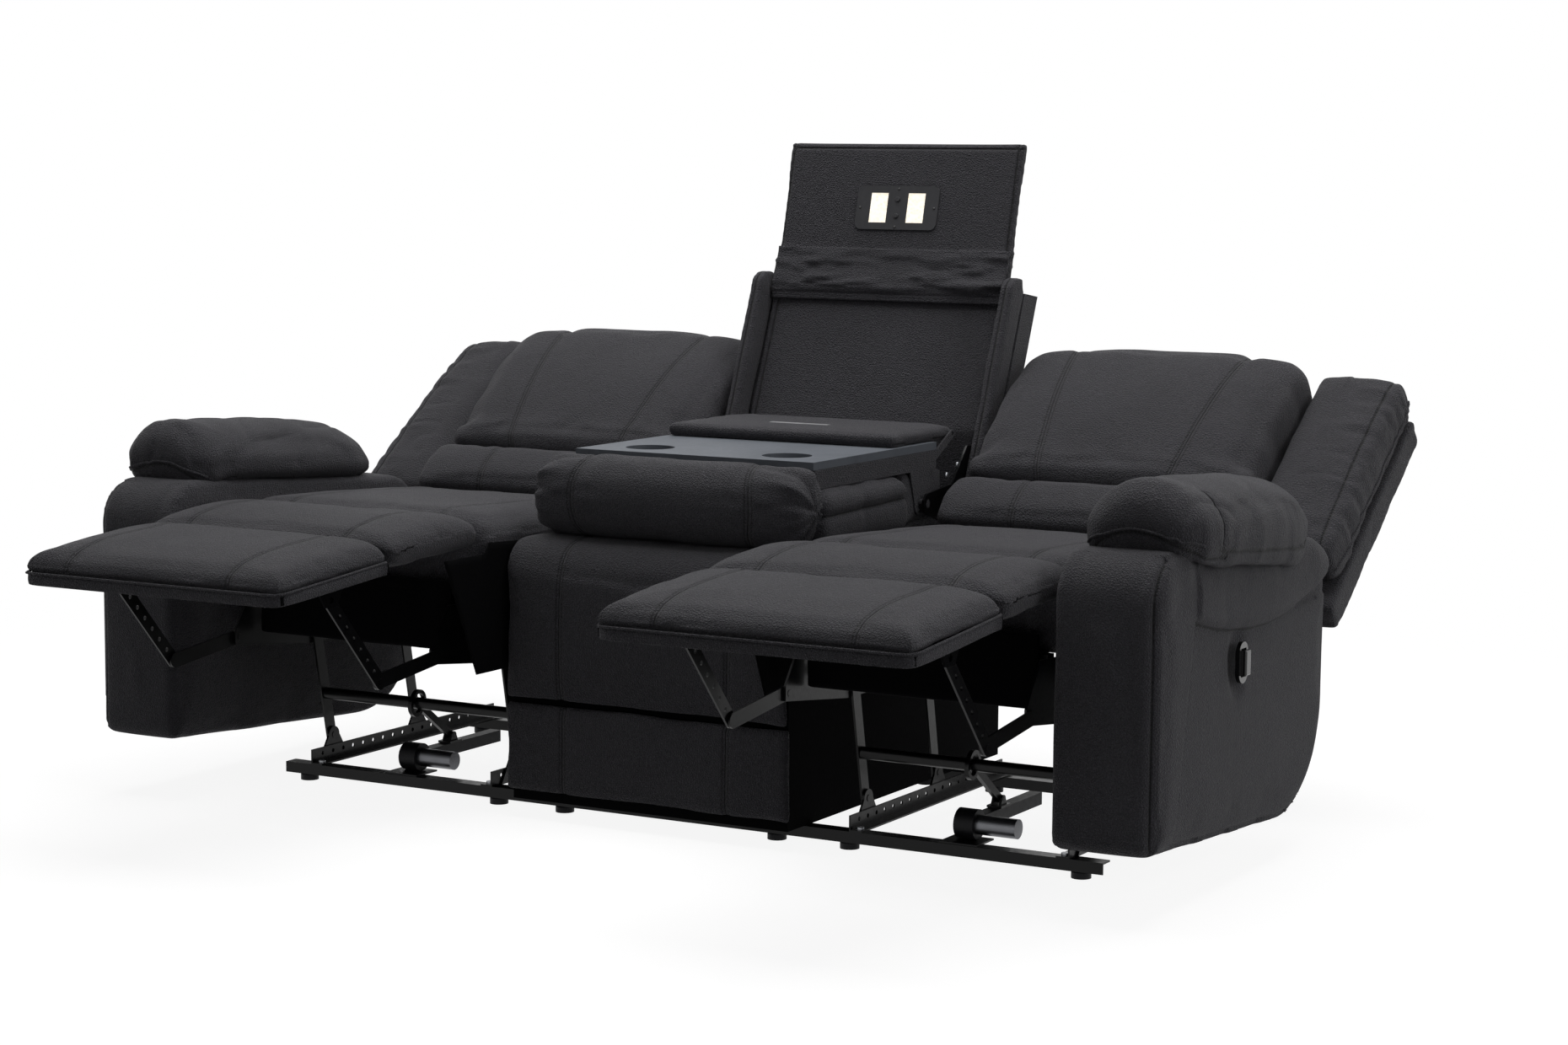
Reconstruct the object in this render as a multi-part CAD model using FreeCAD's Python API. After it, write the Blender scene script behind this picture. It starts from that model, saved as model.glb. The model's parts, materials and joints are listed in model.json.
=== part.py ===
import FreeCAD
import Part
import math
import os

# Power reclining sofa with a drop down console, in millimetres, modelled as it stands in use:
# both end seats reclined, both footrests out, the console table down and its light panel up.
# Each end seat, with its arm, glides forward on two pairs of swing links above a floor frame.
# X runs along the sofa, Y from front to back and Z up. Places are worked out from the front
# rail at y = 0 and the floor at z = 0, and the finished sofa is centred over its origin.

# Floor frame
railLength = 1690.0
railDepth = 30.0
railGauge = 3.0
footHeight = 12.0
footRadius = 17.0
railTop = 32.0
rearRailY = 560.0
footPlaces = (221.0, 365.0, 800.0)
sideRailHeight = 28.0
sideRailWidth = 25.0
perforation = 4.0
perforationPitch = 32.0

# Mechanism of an end seat
mechanismX = 578.0
plateGauge = 4.0
layerGap = 1.0
lugInner = 207.0
swingLength = 240.0
swingLean = 11.4
swingFrontY = 60.0
swingRearY = 330.0
swingBaseZ = 78.0
pinRadius = 6.0
pinClearance = 0.35
linkHalf = 13.0
torqueTubeShare = 0.35
torqueTubeRadius = 11.0

# End seat
seatInnerX = 298.0
seatOuterX = 868.0
seatFrontY = -145.0
seatRearY = 398.0
seatFrontBottom = swingBaseZ + swingLength + 77.0
seatRearBottom = swingBaseZ + swingLength + 47.0
seatFrontTop = seatFrontBottom + 150.0
stripGauge = 2.0
stripWidth = 40.0
stripCount = 5
seatTube = 25.0
apronDrop = 130.0
apronGauge = 10.0
apronSet = 1.2

# Footrest
ottomanCentreX = 575.5
ottomanHalf = 275.5
ottomanFrontY = -700.0
ottomanRearY = -410.0
ottomanFrontZ = 455.0
ottomanTilt = 4.5
ottomanBoard = 14.0
ottomanPad = 40.0
ottomanNose = 11.0
chaiseBottom = 50.0
bridgeReach = 6.8
footPivotY = -520.0
footPivotZ = 440.0
kneeY = -378.0
kneeZ = 280.0
footBaseY = -205.0
footBaseZ = 300.0

# Back of an end seat
backPivotY = 490.0
backPivotZ = 480.0
backLean = 54.5
backRear = 120.0
backShellFront = 61.0
backShellLow = -35.0
backShellHigh = 482.0
backFrameFront = -21.0
backFrameLow = 25.0
backFrameHigh = 135.0
lumbarFront = -79.0
lumbarBack = -22.0
lumbarLow = -23.0
lumbarHigh = 111.0
headHigh = 512.0
wingHigh = 508.0
wingFront = -29.0
wingLow = 12.0
wingInnerX = seatOuterX + 6.0
wingOuterX = seatOuterX + 177.0
bracketRadius = 14.0

# Arm
armInnerX = seatOuterX + 8.0
armOuterX = armInnerX + 180.0
armFrontY = -300.0
armRearY = 472.0
armBottomZ = 113.0
armTopZ = 592.0
armSlope = 0.068
armRearRound = 190.0
armRearCrown = 95.0
armCrown = 88.0
padInnerX = armInnerX - 10.0
padOuterX = armOuterX + 40.0
padFrontY = -210.0
padRearY = 350.0
padHeight = 105.0
switchY = 38.0
switchZ = 378.0
bezelWidth = 38.0
bezelHeight = 68.0
bezelDepth = 7.0
rockerWidth = 21.0
rockerHeight = 42.0

# Centre seat
centreHalf = 289.0
boxHalf = 283.0
boxFrontY = -70.0
boxRearY = 760.0
boxDeckZ = 379.0
boxRearZ = 330.0
pocketFrontY = 402.0
centreFrontY = -85.0
centreSeatRearY = 400.0
centreSeatTop = 503.0
kickSeamZ = 212.0
kickBottomZ = 50.0
frontPadDepth = 15.0

# Centre back
nicheLean = 22.0
nicheFaceY = 725.0
nicheFaceZ = 669.0
nicheTopZ = 921.0
nichePanelGauge = 12.0
centreBackGauge = 66.0
nicheFootY = 722.0
bolsterInnerX = 262.0
bolsterOuterX = 288.0
bolsterForward = 48.0
bolsterLowZ = 500.0
bolsterTopZ = 951.0

# Console table
tableHingeY = 490.0
tableHingeZ = 545.0
tableHalf = 246.0
tableFrontY = 84.0
tableRearY = 552.0
tableBoxLow = 605.5
tableBoxHigh = 640.0
tableTop = 654.0
trayFrontY = 78.0
cupRadius = 45.0
cupDepth = 38.0
cupX = 143.0
cupY = 168.0
binHalfX = tableHalf - 96.0
binFrontY = 410.0
binRearY = 530.0
binDepth = 32.0
wall = 3.0
lidFrontY = 385.0
lidRearY = 630.0
lidHalf = tableHalf - 6.0
lidHeight = 24.0
lidPin = 4.0
pillowBottom = 504.0
pillowRearY = 588.0
pillowWide = tableHalf + 26.0
pillowNarrow = tableHalf - 6.0
pillowWideRearY = 415.0
rollHalf = 250.0
rollFrontY = -28.0
rollRearY = 76.0
hingePin = 8.0
hingePlate = 4.0

# Light panel
flapHalf = 257.0
flapLength = 282.0
flapGauge = 20.0
flapLean = 14.0
flapOffset = 9.0
flapRise = 16.0
flapBarrel = 8.6
flapEar = 205.0
flapNotch = 26.0
lightUp = 148.0
lightWide = 180.0
lightTall = 88.0
bezelStand = 4.0
lensWide = 38.0
lensTall = 60.0
lensApart = 82.0
buttonRadius = 5.0
buttonApart = 33.0
buttonStand = 3.0

# Drive
motorY = 34.0
motorZ = 52.0
gearRadius = 26.0
gearWide = 36.0
canRadius = 17.0
canLength = 74.0
trackWide = 24.0
trackLow = 48.0
trackHigh = 70.0
trackRearY = 300.0
blockLength = 38.0
driveLink = 130.0
drivePinZ = 84.0
driveSlotHalf = 5.5
driveSlotSlack = 2.8

seatingGap = 0.3
lidPivotY = lidRearY - 10.0
lidPivotZ = tableTop + 11.0

sofa = {}


def keep(node, *shapes):
    """Files one or more separate solids under a node's name."""
    sofa.setdefault(node, []).extend(shapes)


def span(side, low, high):
    """The X limits of a piece on the right seat, or of its mirror on the left."""
    return tuple(sorted((side * low, side * high)))


def block(x, y, z):
    """A box between two limits on each axis."""
    corner = FreeCAD.Vector(x[0], y[0], z[0])
    return Part.makeBox(x[1] - x[0], y[1] - y[0], z[1] - z[0], corner)


def prism(points, x):
    """A flat outline of (y, z) corners, drawn along X between two limits."""
    ring = [FreeCAD.Vector(x[0], y, z) for y, z in points]
    face = Part.Face(Part.makePolygon(ring + ring[:1]))
    return face.extrude(FreeCAD.Vector(x[1] - x[0], 0, 0))


def softened(shape, radius):
    """The shape with every edge that runs along X rounded."""
    edges = [e for e in shape.Edges if abs(e.BoundBox.XLength - shape.BoundBox.XLength) < 0.01]
    return shape.makeFillet(radius, edges)


def rod(x, y, z, radius):
    """A round bar along X."""
    start = FreeCAD.Vector(x[0], y, z)
    return Part.makeCylinder(radius, x[1] - x[0], start, FreeCAD.Vector(1, 0, 0))


def strap(x, start, end, half):
    """A flat link with round ends, between two pivots given as (y, z)."""
    run = math.hypot(end[0] - start[0], end[1] - start[1])
    sideY = -(end[1] - start[1]) / run * half
    sideZ = (end[0] - start[0]) / run * half
    corners = [
        (start[0] + sideY, start[1] + sideZ),
        (end[0] + sideY, end[1] + sideZ),
        (end[0] - sideY, end[1] - sideZ),
        (start[0] - sideY, start[1] - sideZ),
    ]
    link = prism(corners, x)
    return link.fuse([rod(x, start[0], start[1], half), rod(x, end[0], end[1], half)]).removeSplitter()


def turned(point, lean):
    """A place on a leaning back: (distance up it, distance behind it) as (y, z)."""
    angle = math.radians(lean)
    up, behind = point
    y = up * math.sin(angle) + behind * math.cos(angle)
    z = up * math.cos(angle) - behind * math.sin(angle)
    return y, z


def section(x, start, lean, length, depth, corner, crown, inset):
    """A cushion's outline at one X: flat below, crowned above, drawn in by inset."""
    angle = math.radians(lean)
    along = (math.cos(angle), math.sin(angle))
    out = (-math.sin(angle), math.cos(angle))
    inset = min(inset, 0.3 * depth)
    lo, hi = inset, length - inset
    foot, top = 0.35 * inset, depth - 0.8 * inset
    corner = min(corner, 0.45 * (top - foot), 0.45 * (hi - lo))
    bow = max(crown - 0.3 * inset, 0.5)

    def at(u, v):
        y = start[0] + u * along[0] + v * out[0]
        z = start[1] + u * along[1] + v * out[1]
        return FreeCAD.Vector(x, y, z)

    bend = corner * (1.0 - math.sqrt(0.5))
    places = {
        "a": at(lo + corner, foot),
        "b": at(hi - corner, foot),
        "c": at(hi, foot + corner),
        "d": at(hi, top - corner),
        "e": at(hi - corner, top),
        "f": at(lo + corner, top),
        "g": at(lo, top - corner),
        "h": at(lo, foot + corner),
    }
    edges = [
        Part.LineSegment(places["a"], places["b"]),
        Part.Arc(places["b"], at(hi - bend, foot + bend), places["c"]),
        Part.LineSegment(places["c"], places["d"]),
        Part.Arc(places["d"], at(hi - bend, top - bend), places["e"]),
        Part.Arc(places["e"], at((lo + hi) / 2, top + bow), places["f"]),
        Part.Arc(places["f"], at(lo + bend, top - bend), places["g"]),
        Part.LineSegment(places["g"], places["h"]),
        Part.Arc(places["h"], at(lo + bend, foot + bend), places["a"]),
    ]
    return Part.Wire([edge.toShape() for edge in edges])


def cushion(x, start, lean, length, depth, corner=22.0, crown=8.0, channels=(0.2, 0.8)):
    """A padded form across X with rounded ends and a shallow sewn channel at each share."""
    wide = x[1] - x[0]
    stations = [(0.0, 0.16), (0.02, 0.07), (0.06, 0.02), (0.5, 0.0), (0.94, 0.02), (0.98, 0.07), (1.0, 0.16)]
    for share in channels:
        stations += [(share - 0.012, 0.005), (share, 0.05), (share + 0.012, 0.005)]
    wires = []
    for share, draw in sorted(stations):
        wires.append(section(x[0] + share * wide, start, lean, length, depth, corner, crown, draw * depth))
    return Part.makeLoft(wires, True, True)


def angleBar(x, y, top, depth, gauge, height):
    """A rail of angle section along X, flat leg on top and upright leg in front."""
    flat = block(x, (y, y + depth), (top - gauge, top))
    upright = block(x, (y, y + gauge), (top - height, top))
    return flat.fuse(upright).removeSplitter()


def foot(x, y):
    """A round glide with the stem that holds it under a rail."""
    glide = Part.makeCylinder(footRadius, footHeight, FreeCAD.Vector(x, y, 0))
    glide = glide.makeFillet(2.5, [glide.Edges[0]])
    stem = Part.makeCylinder(7.0, railTop - railGauge, FreeCAD.Vector(x, y, 0))
    return glide.fuse(stem).removeSplitter()


railFrontY = -12.0
lugOuter = lugInner + plateGauge
swingInner = lugOuter + layerGap
swingOuter = swingInner + plateGauge
plateInner = swingOuter + layerGap
plateOuter = plateInner + plateGauge
rearLinkInner = plateOuter + layerGap
rearLinkOuter = rearLinkInner + plateGauge
frontLinkInner = rearLinkOuter + layerGap
frontLinkOuter = frontLinkInner + plateGauge
hookInner = frontLinkOuter + 0.6
hookOuter = hookInner + plateGauge


def buildFloorFrame():
    """Rails, feet, pivot lugs and bolts that stay on the floor."""
    whole = (-railLength / 2, railLength / 2)
    keep("front_rail", angleBar(whole, railFrontY, railTop, railDepth, railGauge, railTop - footHeight))
    keep("rear_rail", angleBar(whole, rearRailY, railTop, railDepth, railGauge, railTop - footHeight))
    for side in (-1, 1):
        for place in footPlaces:
            keep("feet", foot(side * place, railFrontY + railDepth / 2))
            keep("feet", foot(side * place, rearRailY + railDepth / 2))
        for hand in (-1, 1):
            outer = side * mechanismX + hand * lugInner
            leg = tuple(sorted((outer, outer - hand * railGauge)))
            flat = tuple(sorted((outer, outer - hand * sideRailWidth)))
            ends = (railFrontY, rearRailY + railDepth)
            rail = block(flat, ends, (railTop, railTop + railGauge))
            rail = rail.fuse(block(leg, ends, (railTop, railTop + sideRailHeight)))
            holes = []
            count = int((ends[1] - ends[0]) / perforationPitch)
            for step in range(1, count):
                y = ends[0] + step * perforationPitch
                holes.append(rod((leg[0] - 1, leg[1] + 1), y, railTop + 17.0, perforation))
            keep("side_rails", rail.cut(holes).removeSplitter())
            lug = tuple(sorted((outer, outer + hand * plateGauge)))
            for y in (swingFrontY, swingRearY):
                corners = [(y - 45, railTop), (y + 45, railTop), (y + 16, swingBaseZ), (y - 16, swingBaseZ)]
                cheek = prism(corners, lug).fuse(rod(lug, y, swingBaseZ, 16.0))
                hole = rod((lug[0] - 1, lug[1] + 1), y, swingBaseZ, pinRadius + pinClearance)
                keep("base_brackets", cheek.cut(hole).removeSplitter())
            for y in (railFrontY + railDepth / 2, rearRailY + railDepth / 2):
                x = outer - hand * 14.0
                head = Part.makeCylinder(7.0, 4.0, FreeCAD.Vector(x, y, railTop + railGauge))
                keep("rail_bolts", head)
        centre = side * mechanismX
        plate = block((centre - 36, centre + 36), (railFrontY + 2, motorY + 22), (railTop, 35.0))
        keep("base_brackets", plate)


def swingTop(baseY):
    """Where the top pivot of a swing link is at rest."""
    angle = math.radians(swingLean)
    return baseY - swingLength * math.sin(angle), swingBaseZ + swingLength * math.cos(angle)


def between(start, end, share):
    """A point part of the way from one (y, z) to another."""
    return start[0] + share * (end[0] - start[0]), start[1] + share * (end[1] - start[1])


def buildDrive(side, name):
    """The pieces that push the seat: motor, track, sliding block and its link."""
    centre = side * mechanismX
    gearbox = rod((centre - gearWide / 2, centre + gearWide / 2), motorY, 35.0 + gearRadius, gearRadius)
    gearbox = gearbox.fuse(block((centre - 15, centre + 15), (motorY, 66.0), (trackLow, trackHigh)))
    keep("motor_gearboxes", gearbox.removeSplitter())
    canStart = centre + gearWide / 2
    can = rod((canStart, canStart + canLength), motorY, 35.0 + gearRadius, canRadius)
    keep("motor_cans", can)
    half = trackWide / 2
    track = block((centre - half, centre + half), (66.0, trackRearY), (trackLow, trackHigh))
    keep("motor_tracks", track)
    tube = between((swingFrontY, swingBaseZ), swingTop(swingFrontY), torqueTubeShare)
    reach = math.sqrt(driveLink ** 2 - (tube[1] - drivePinZ) ** 2)
    pinY = tube[0] + reach
    low = trackHigh + seatingGap
    reach = blockLength / 2
    body = block((centre - 14, centre + 14), (pinY - reach, pinY + reach), (low, low + 4.0))
    for hand in (-1, 1):
        ear = tuple(sorted((centre + hand * 5.0, centre + hand * 10.0)))
        cheek = prism([
            (pinY - 12, low + 3), (pinY + 12, low + 3),
            (pinY + 7, drivePinZ), (pinY - 7, drivePinZ),
        ], ear)
        body = body.fuse(cheek.fuse(rod(ear, pinY, drivePinZ, 7.0)))
    hole = rod((centre - 20, centre + 20), pinY, drivePinZ, 4.0 + pinClearance)
    keep("drive_block_" + name, body.cut(hole).removeSplitter())
    flat = (centre - 4, centre + 4)
    link = strap(flat, (pinY, drivePinZ), tube, 7.0)
    across = ((tube[1] - drivePinZ) / driveLink, (pinY - tube[0]) / driveLink)
    ends = []
    for k in (-driveSlotHalf, driveSlotHalf):
        ends.append((tube[0] + k * across[0], tube[1] + k * across[1]))
    slot = torqueTubeRadius + driveSlotSlack
    eye = strap(flat, ends[0], ends[1], slot + 7.0)
    link = link.fuse([eye, rod((centre - 10.5, centre + 10.5), pinY, drivePinZ, 4.0)])
    link = link.cut(strap((centre - 6, centre + 6), ends[0], ends[1], slot))
    keep("drive_link_" + name, link.removeSplitter())
    print("pivot", "drive_block_" + name, round(pinY, 3), drivePinZ)
    print("pivot", "drive_tube_" + name, round(tube[0], 3), round(tube[1], 3))


def buildSwingLinks(side, name):
    """Front and rear pairs of links that carry an end seat over the floor frame."""
    for place, y in (("front", swingFrontY), ("rear", swingRearY)):
        low = (y, swingBaseZ)
        top = swingTop(y)
        pieces = []
        for hand in (-1, 1):
            centre = side * mechanismX
            flat = tuple(sorted((centre + hand * swingInner, centre + hand * swingOuter)))
            inward = tuple(sorted((centre + hand * (lugInner - 1), centre + hand * swingInner)))
            outward = tuple(sorted((centre + hand * swingOuter, centre + hand * (plateOuter + 0.5))))
            link = strap(flat, low, top, linkHalf)
            link = link.fuse([
                rod(inward, low[0], low[1], pinRadius),
                rod(outward, top[0], top[1], pinRadius),
            ])
            pieces.append(link)
        if place == "front":
            tube = between(low, top, torqueTubeShare)
            centre = side * mechanismX
            bar = rod((centre - swingInner, centre + swingInner), tube[0], tube[1], torqueTubeRadius)
            pieces = [pieces[0].fuse([bar, pieces[1]]).removeSplitter()]
        keep("swing_links_" + place + "_" + name, *[piece.removeSplitter() for piece in pieces])
        print("pivot", "swing_" + place, y, swingBaseZ, round(top[0], 3), round(top[1], 3))


def seatBottom(y):
    """Height of the underside of a seat cushion."""
    slope = (seatRearBottom - seatFrontBottom) / (seatRearY - seatFrontY)
    return seatFrontBottom + slope * (y - seatFrontY)


def buildSeat(side, name):
    """Side plates, cross tubes, spring strips and the cushion of an end seat."""
    centre = side * mechanismX
    top = stripGauge + seatingGap
    for hand in (-1, 1):
        flat = tuple(sorted((centre + hand * plateInner, centre + hand * plateOuter)))
        outline = [
            (footBaseY - 13, footBaseZ - 12),
            (footBaseY - 13, footBaseZ + 14),
            (seatFrontY - 20, seatBottom(seatFrontY) - 8),
            (430, seatBottom(430) - 6),
            (backPivotY - 16, backPivotZ - 6),
            (backPivotY + 14, backPivotZ - 6),
            (468, 300),
            (300, 262),
            (0, 262),
        ]
        plate = prism(outline, flat).fuse(rod(flat, backPivotY, backPivotZ, 16.0))
        wide = (flat[0] - 1, flat[1] + 1)
        holes = [
            rod(wide, backPivotY, backPivotZ, pinRadius + pinClearance),
            rod(wide, footBaseY, footBaseZ, pinRadius + pinClearance),
        ]
        for y in (swingFrontY, swingRearY):
            topY, topZ = swingTop(y)
            holes.append(rod(wide, topY, topZ, pinRadius + pinClearance))
        keep("seat_frame_" + name, plate.cut(holes).removeSplitter())
    inside = (centre - plateInner, centre + plateInner)
    for y in (seatFrontY + 12, seatRearY - 70):
        high = seatBottom(y + seatTube) - top
        keep("seat_frame_" + name, block(inside, (y, y + seatTube), (high - seatTube, high)))
    pitch = (2 * plateInner - 60) / (stripCount - 1)
    for step in range(stripCount):
        x = centre - plateInner + 30 + step * pitch
        ends = (seatFrontY + 12, seatRearY - 70 + seatTube)
        outline = [(y, seatBottom(y) - seatingGap) for y in ends]
        outline += [(y, seatBottom(y) - top) for y in reversed(ends)]
        keep("seat_frame_" + name, prism(outline, (x - stripWidth / 2, x + stripWidth / 2)))
    for y in (60.0, 330.0):
        bar = block(span(side, mechanismX + plateOuter, armInnerX), (y, y + 25), (325.0, 350.0))
        keep("seat_frame_" + name, bar)

    wide = span(side, seatInnerX, seatOuterX)
    length = seatRearY - seatFrontY
    lean = math.degrees(math.atan2(seatRearBottom - seatFrontBottom, length))
    depth = seatFrontTop - seatFrontBottom
    pad = cushion(wide, (seatFrontY, seatFrontBottom), lean, length, depth, 30.0, 4.0)
    keep("seat_cushion_" + name, pad)
    high = seatFrontBottom + 36.0
    apron = block(
        (centre - plateInner + 4, centre + plateInner - 4),
        (seatFrontY + apronSet - apronGauge, seatFrontY + apronSet),
        (high - apronDrop, high),
    )
    keep("seat_cushion_" + name, apron)


def backPoint(up, behind):
    """A (y, z) place on the reclined back, measured from its pivot."""
    y, z = turned((up, behind), backLean)
    return backPivotY + y, backPivotZ + z


def buildBack(side, name):
    """Shell, padded cushions and pivots of the back of an end seat."""
    wide = span(side, seatInnerX + 2, wingOuterX)
    outline = [
        backPoint(backShellLow, backRear),
        backPoint(backShellLow, backShellFront),
        backPoint(backShellHigh, backShellFront),
        backPoint(backShellHigh, backRear),
    ]
    shell = softened(prism(outline, wide), 10.0)
    inner = span(side, seatInnerX + 2, seatOuterX)
    frame = prism([
        backPoint(backFrameLow, backShellFront + 5),
        backPoint(backFrameLow, backFrameFront),
        backPoint(backFrameHigh, backFrameFront),
        backPoint(backFrameHigh, backShellFront + 5),
    ], inner)
    keep("back_shell_" + name, shell.fuse(frame).removeSplitter())
    centre = side * mechanismX
    for hand in (-1, 1):
        flat = tuple(sorted((centre + hand * rearLinkInner, centre + hand * rearLinkOuter)))
        pin = tuple(sorted((centre + hand * (plateInner - 0.5), centre + hand * rearLinkInner)))
        ear = prism([
            backPoint(0, -bracketRadius),
            backPoint(backFrameLow, -bracketRadius),
            backPoint(backFrameLow, bracketRadius),
            backPoint(0, bracketRadius),
        ], flat)
        ear = ear.fuse([
            rod(flat, backPivotY, backPivotZ, bracketRadius),
            rod(pin, backPivotY, backPivotZ, pinRadius),
        ])
        keep("back_shell_" + name, ear.removeSplitter())

    lean = 90.0 - backLean
    lumbar = cushion(
        inner, backPoint(lumbarLow, lumbarBack - 0.3), lean,
        lumbarHigh - lumbarLow, lumbarBack - lumbarFront, 20.0, 6.0,
    )
    keep("back_cushions_" + name, lumbar)
    low = lumbarHigh + 1.0
    front = lumbarFront
    head = cushion(
        inner, backPoint(backFrameHigh + 0.5, backShellFront - 0.3), lean,
        headHigh - backFrameHigh, backShellFront - front, 45.0, 14.0,
    )
    brow = cushion(
        inner, backPoint(low, lumbarBack - 0.3), lean,
        backFrameHigh + 40 - low, lumbarBack - front, 20.0, 4.0,
    )
    keep("back_cushions_" + name, head.fuse(brow).removeSplitter())
    wing = cushion(
        span(side, wingInnerX, wingOuterX), backPoint(wingLow, backShellFront - 0.3), lean,
        wingHigh - wingLow, backShellFront - wingFront, 30.0, 8.0, (),
    )
    keep("back_cushions_" + name, wing)
    print("pivot", "back", backPivotY, backPivotZ)


def ottomanBottom(y):
    """Height of the underside of the footrest board."""
    return ottomanFrontZ + (y - ottomanFrontY) * math.tan(math.radians(ottomanTilt))


def buildFootrest(side, name):
    """Footrest board, its pads, the hook brackets and both pairs of links."""
    wide = span(side, ottomanCentreX - ottomanHalf, ottomanCentreX + ottomanHalf)
    length = (ottomanRearY - ottomanFrontY) / math.cos(math.radians(ottomanTilt))
    slope = math.radians(ottomanTilt)
    start = (ottomanFrontY, ottomanFrontZ)
    along = (math.cos(slope), math.sin(slope))
    out = (-math.sin(slope), math.cos(slope))
    end = (start[0] + length * along[0], start[1] + length * along[1])
    board = prism([
        start, end,
        (end[0] + ottomanBoard * out[0], end[1] + ottomanBoard * out[1]),
        (start[0] + ottomanBoard * out[0], start[1] + ottomanBoard * out[1]),
    ], (wide[0] + 4, wide[1] - 4))
    keep("ottoman_board_" + name, board)
    rise = ottomanBoard + seatingGap
    base = (
        start[0] + rise * out[0] - ottomanNose * along[0],
        start[1] + rise * out[1] - ottomanNose * along[1],
    )
    pad = cushion(wide, base, ottomanTilt, length + ottomanNose, ottomanPad, 14.0, 3.0)
    keep("ottoman_pad_" + name, pad)
    bridgeStart = (ottomanRearY + 4.0, ottomanBottom(ottomanRearY) + 4.0)
    run = seatFrontY + bridgeReach - bridgeStart[0]
    lift = math.degrees(math.atan2(seatFrontTop - chaiseBottom - bridgeStart[1], run))
    bridge = cushion(wide, bridgeStart, lift, run / math.cos(math.radians(lift)), chaiseBottom, 18.0, 6.0)
    keep("chaise_pad_" + name, bridge)

    centre = side * mechanismX
    for hand in (-1, 1):
        hook = tuple(sorted((centre + hand * hookInner, centre + hand * hookOuter)))
        plate = prism([
            (footPivotY - 42, ottomanBottom(footPivotY - 42)),
            (footPivotY + 42, ottomanBottom(footPivotY + 42)),
            (footPivotY + 15, footPivotZ - 12),
            (footPivotY - 15, footPivotZ - 12),
        ], hook)
        hole = rod((hook[0] - 1, hook[1] + 1), footPivotY, footPivotZ, pinRadius)
        keep("ottoman_board_" + name, plate.cut(hole))
        front = tuple(sorted((centre + hand * frontLinkInner, centre + hand * frontLinkOuter)))
        link = strap(front, (kneeY, kneeZ), (footPivotY, footPivotZ), linkHalf)
        holes = [rod((front[0] - 1, front[1] + 1), kneeY, kneeZ, pinRadius + pinClearance)]
        for step in range(1, 7):
            y, z = between((kneeY, kneeZ), (footPivotY, footPivotZ), step / 7.5)
            holes.append(rod((front[0] - 1, front[1] + 1), y, z, perforation))
        keep("footrest_front_links_" + name, link.cut(holes).removeSplitter())
        rear = tuple(sorted((centre + hand * rearLinkInner, centre + hand * rearLinkOuter)))
        link = strap(rear, (footBaseY, footBaseZ), (kneeY, kneeZ), linkHalf)
        inward = tuple(sorted((centre + hand * (plateInner - 0.5), centre + hand * rearLinkInner)))
        outward = tuple(sorted((centre + hand * rearLinkOuter, centre + hand * (frontLinkOuter + 0.4))))
        link = link.fuse([
            rod(inward, footBaseY, footBaseZ, pinRadius),
            rod(outward, kneeY, kneeZ, pinRadius),
        ])
        keep("footrest_rear_links_" + name, link.removeSplitter())
    print("pivot", "footrest", footBaseY, footBaseZ, kneeY, kneeZ, footPivotY, footPivotZ)


def armTop(y):
    """Height of the top of an arm, which falls towards the back with the seat."""
    return armTopZ - armSlope * (y - armFrontY)


def padSection(y, share, lift):
    """Outline of an arm pad at one Y: flat below, round sides and a high crown."""
    middle = (padInnerX + padOuterX) / 2
    half = (padOuterX - padInnerX) / 2 * share
    low = armTop(y) + seatingGap + lift
    high = low + padHeight * share - lift
    waist = low + 0.38 * (high - low)
    knee = low + 0.3 * (waist - low)
    tuck = 0.82 * half

    def at(x, z):
        return FreeCAD.Vector(x, y, z)

    edges = [
        Part.LineSegment(at(middle - tuck, low), at(middle + tuck, low)),
        Part.Arc(at(middle + tuck, low), at(middle + 0.96 * half, knee), at(middle + half, waist)),
        Part.Arc(at(middle + half, waist), at(middle, high), at(middle - half, waist)),
        Part.Arc(at(middle - half, waist), at(middle - 0.96 * half, knee), at(middle - tuck, low)),
    ]
    return Part.Wire([edge.toShape() for edge in edges])


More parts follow.
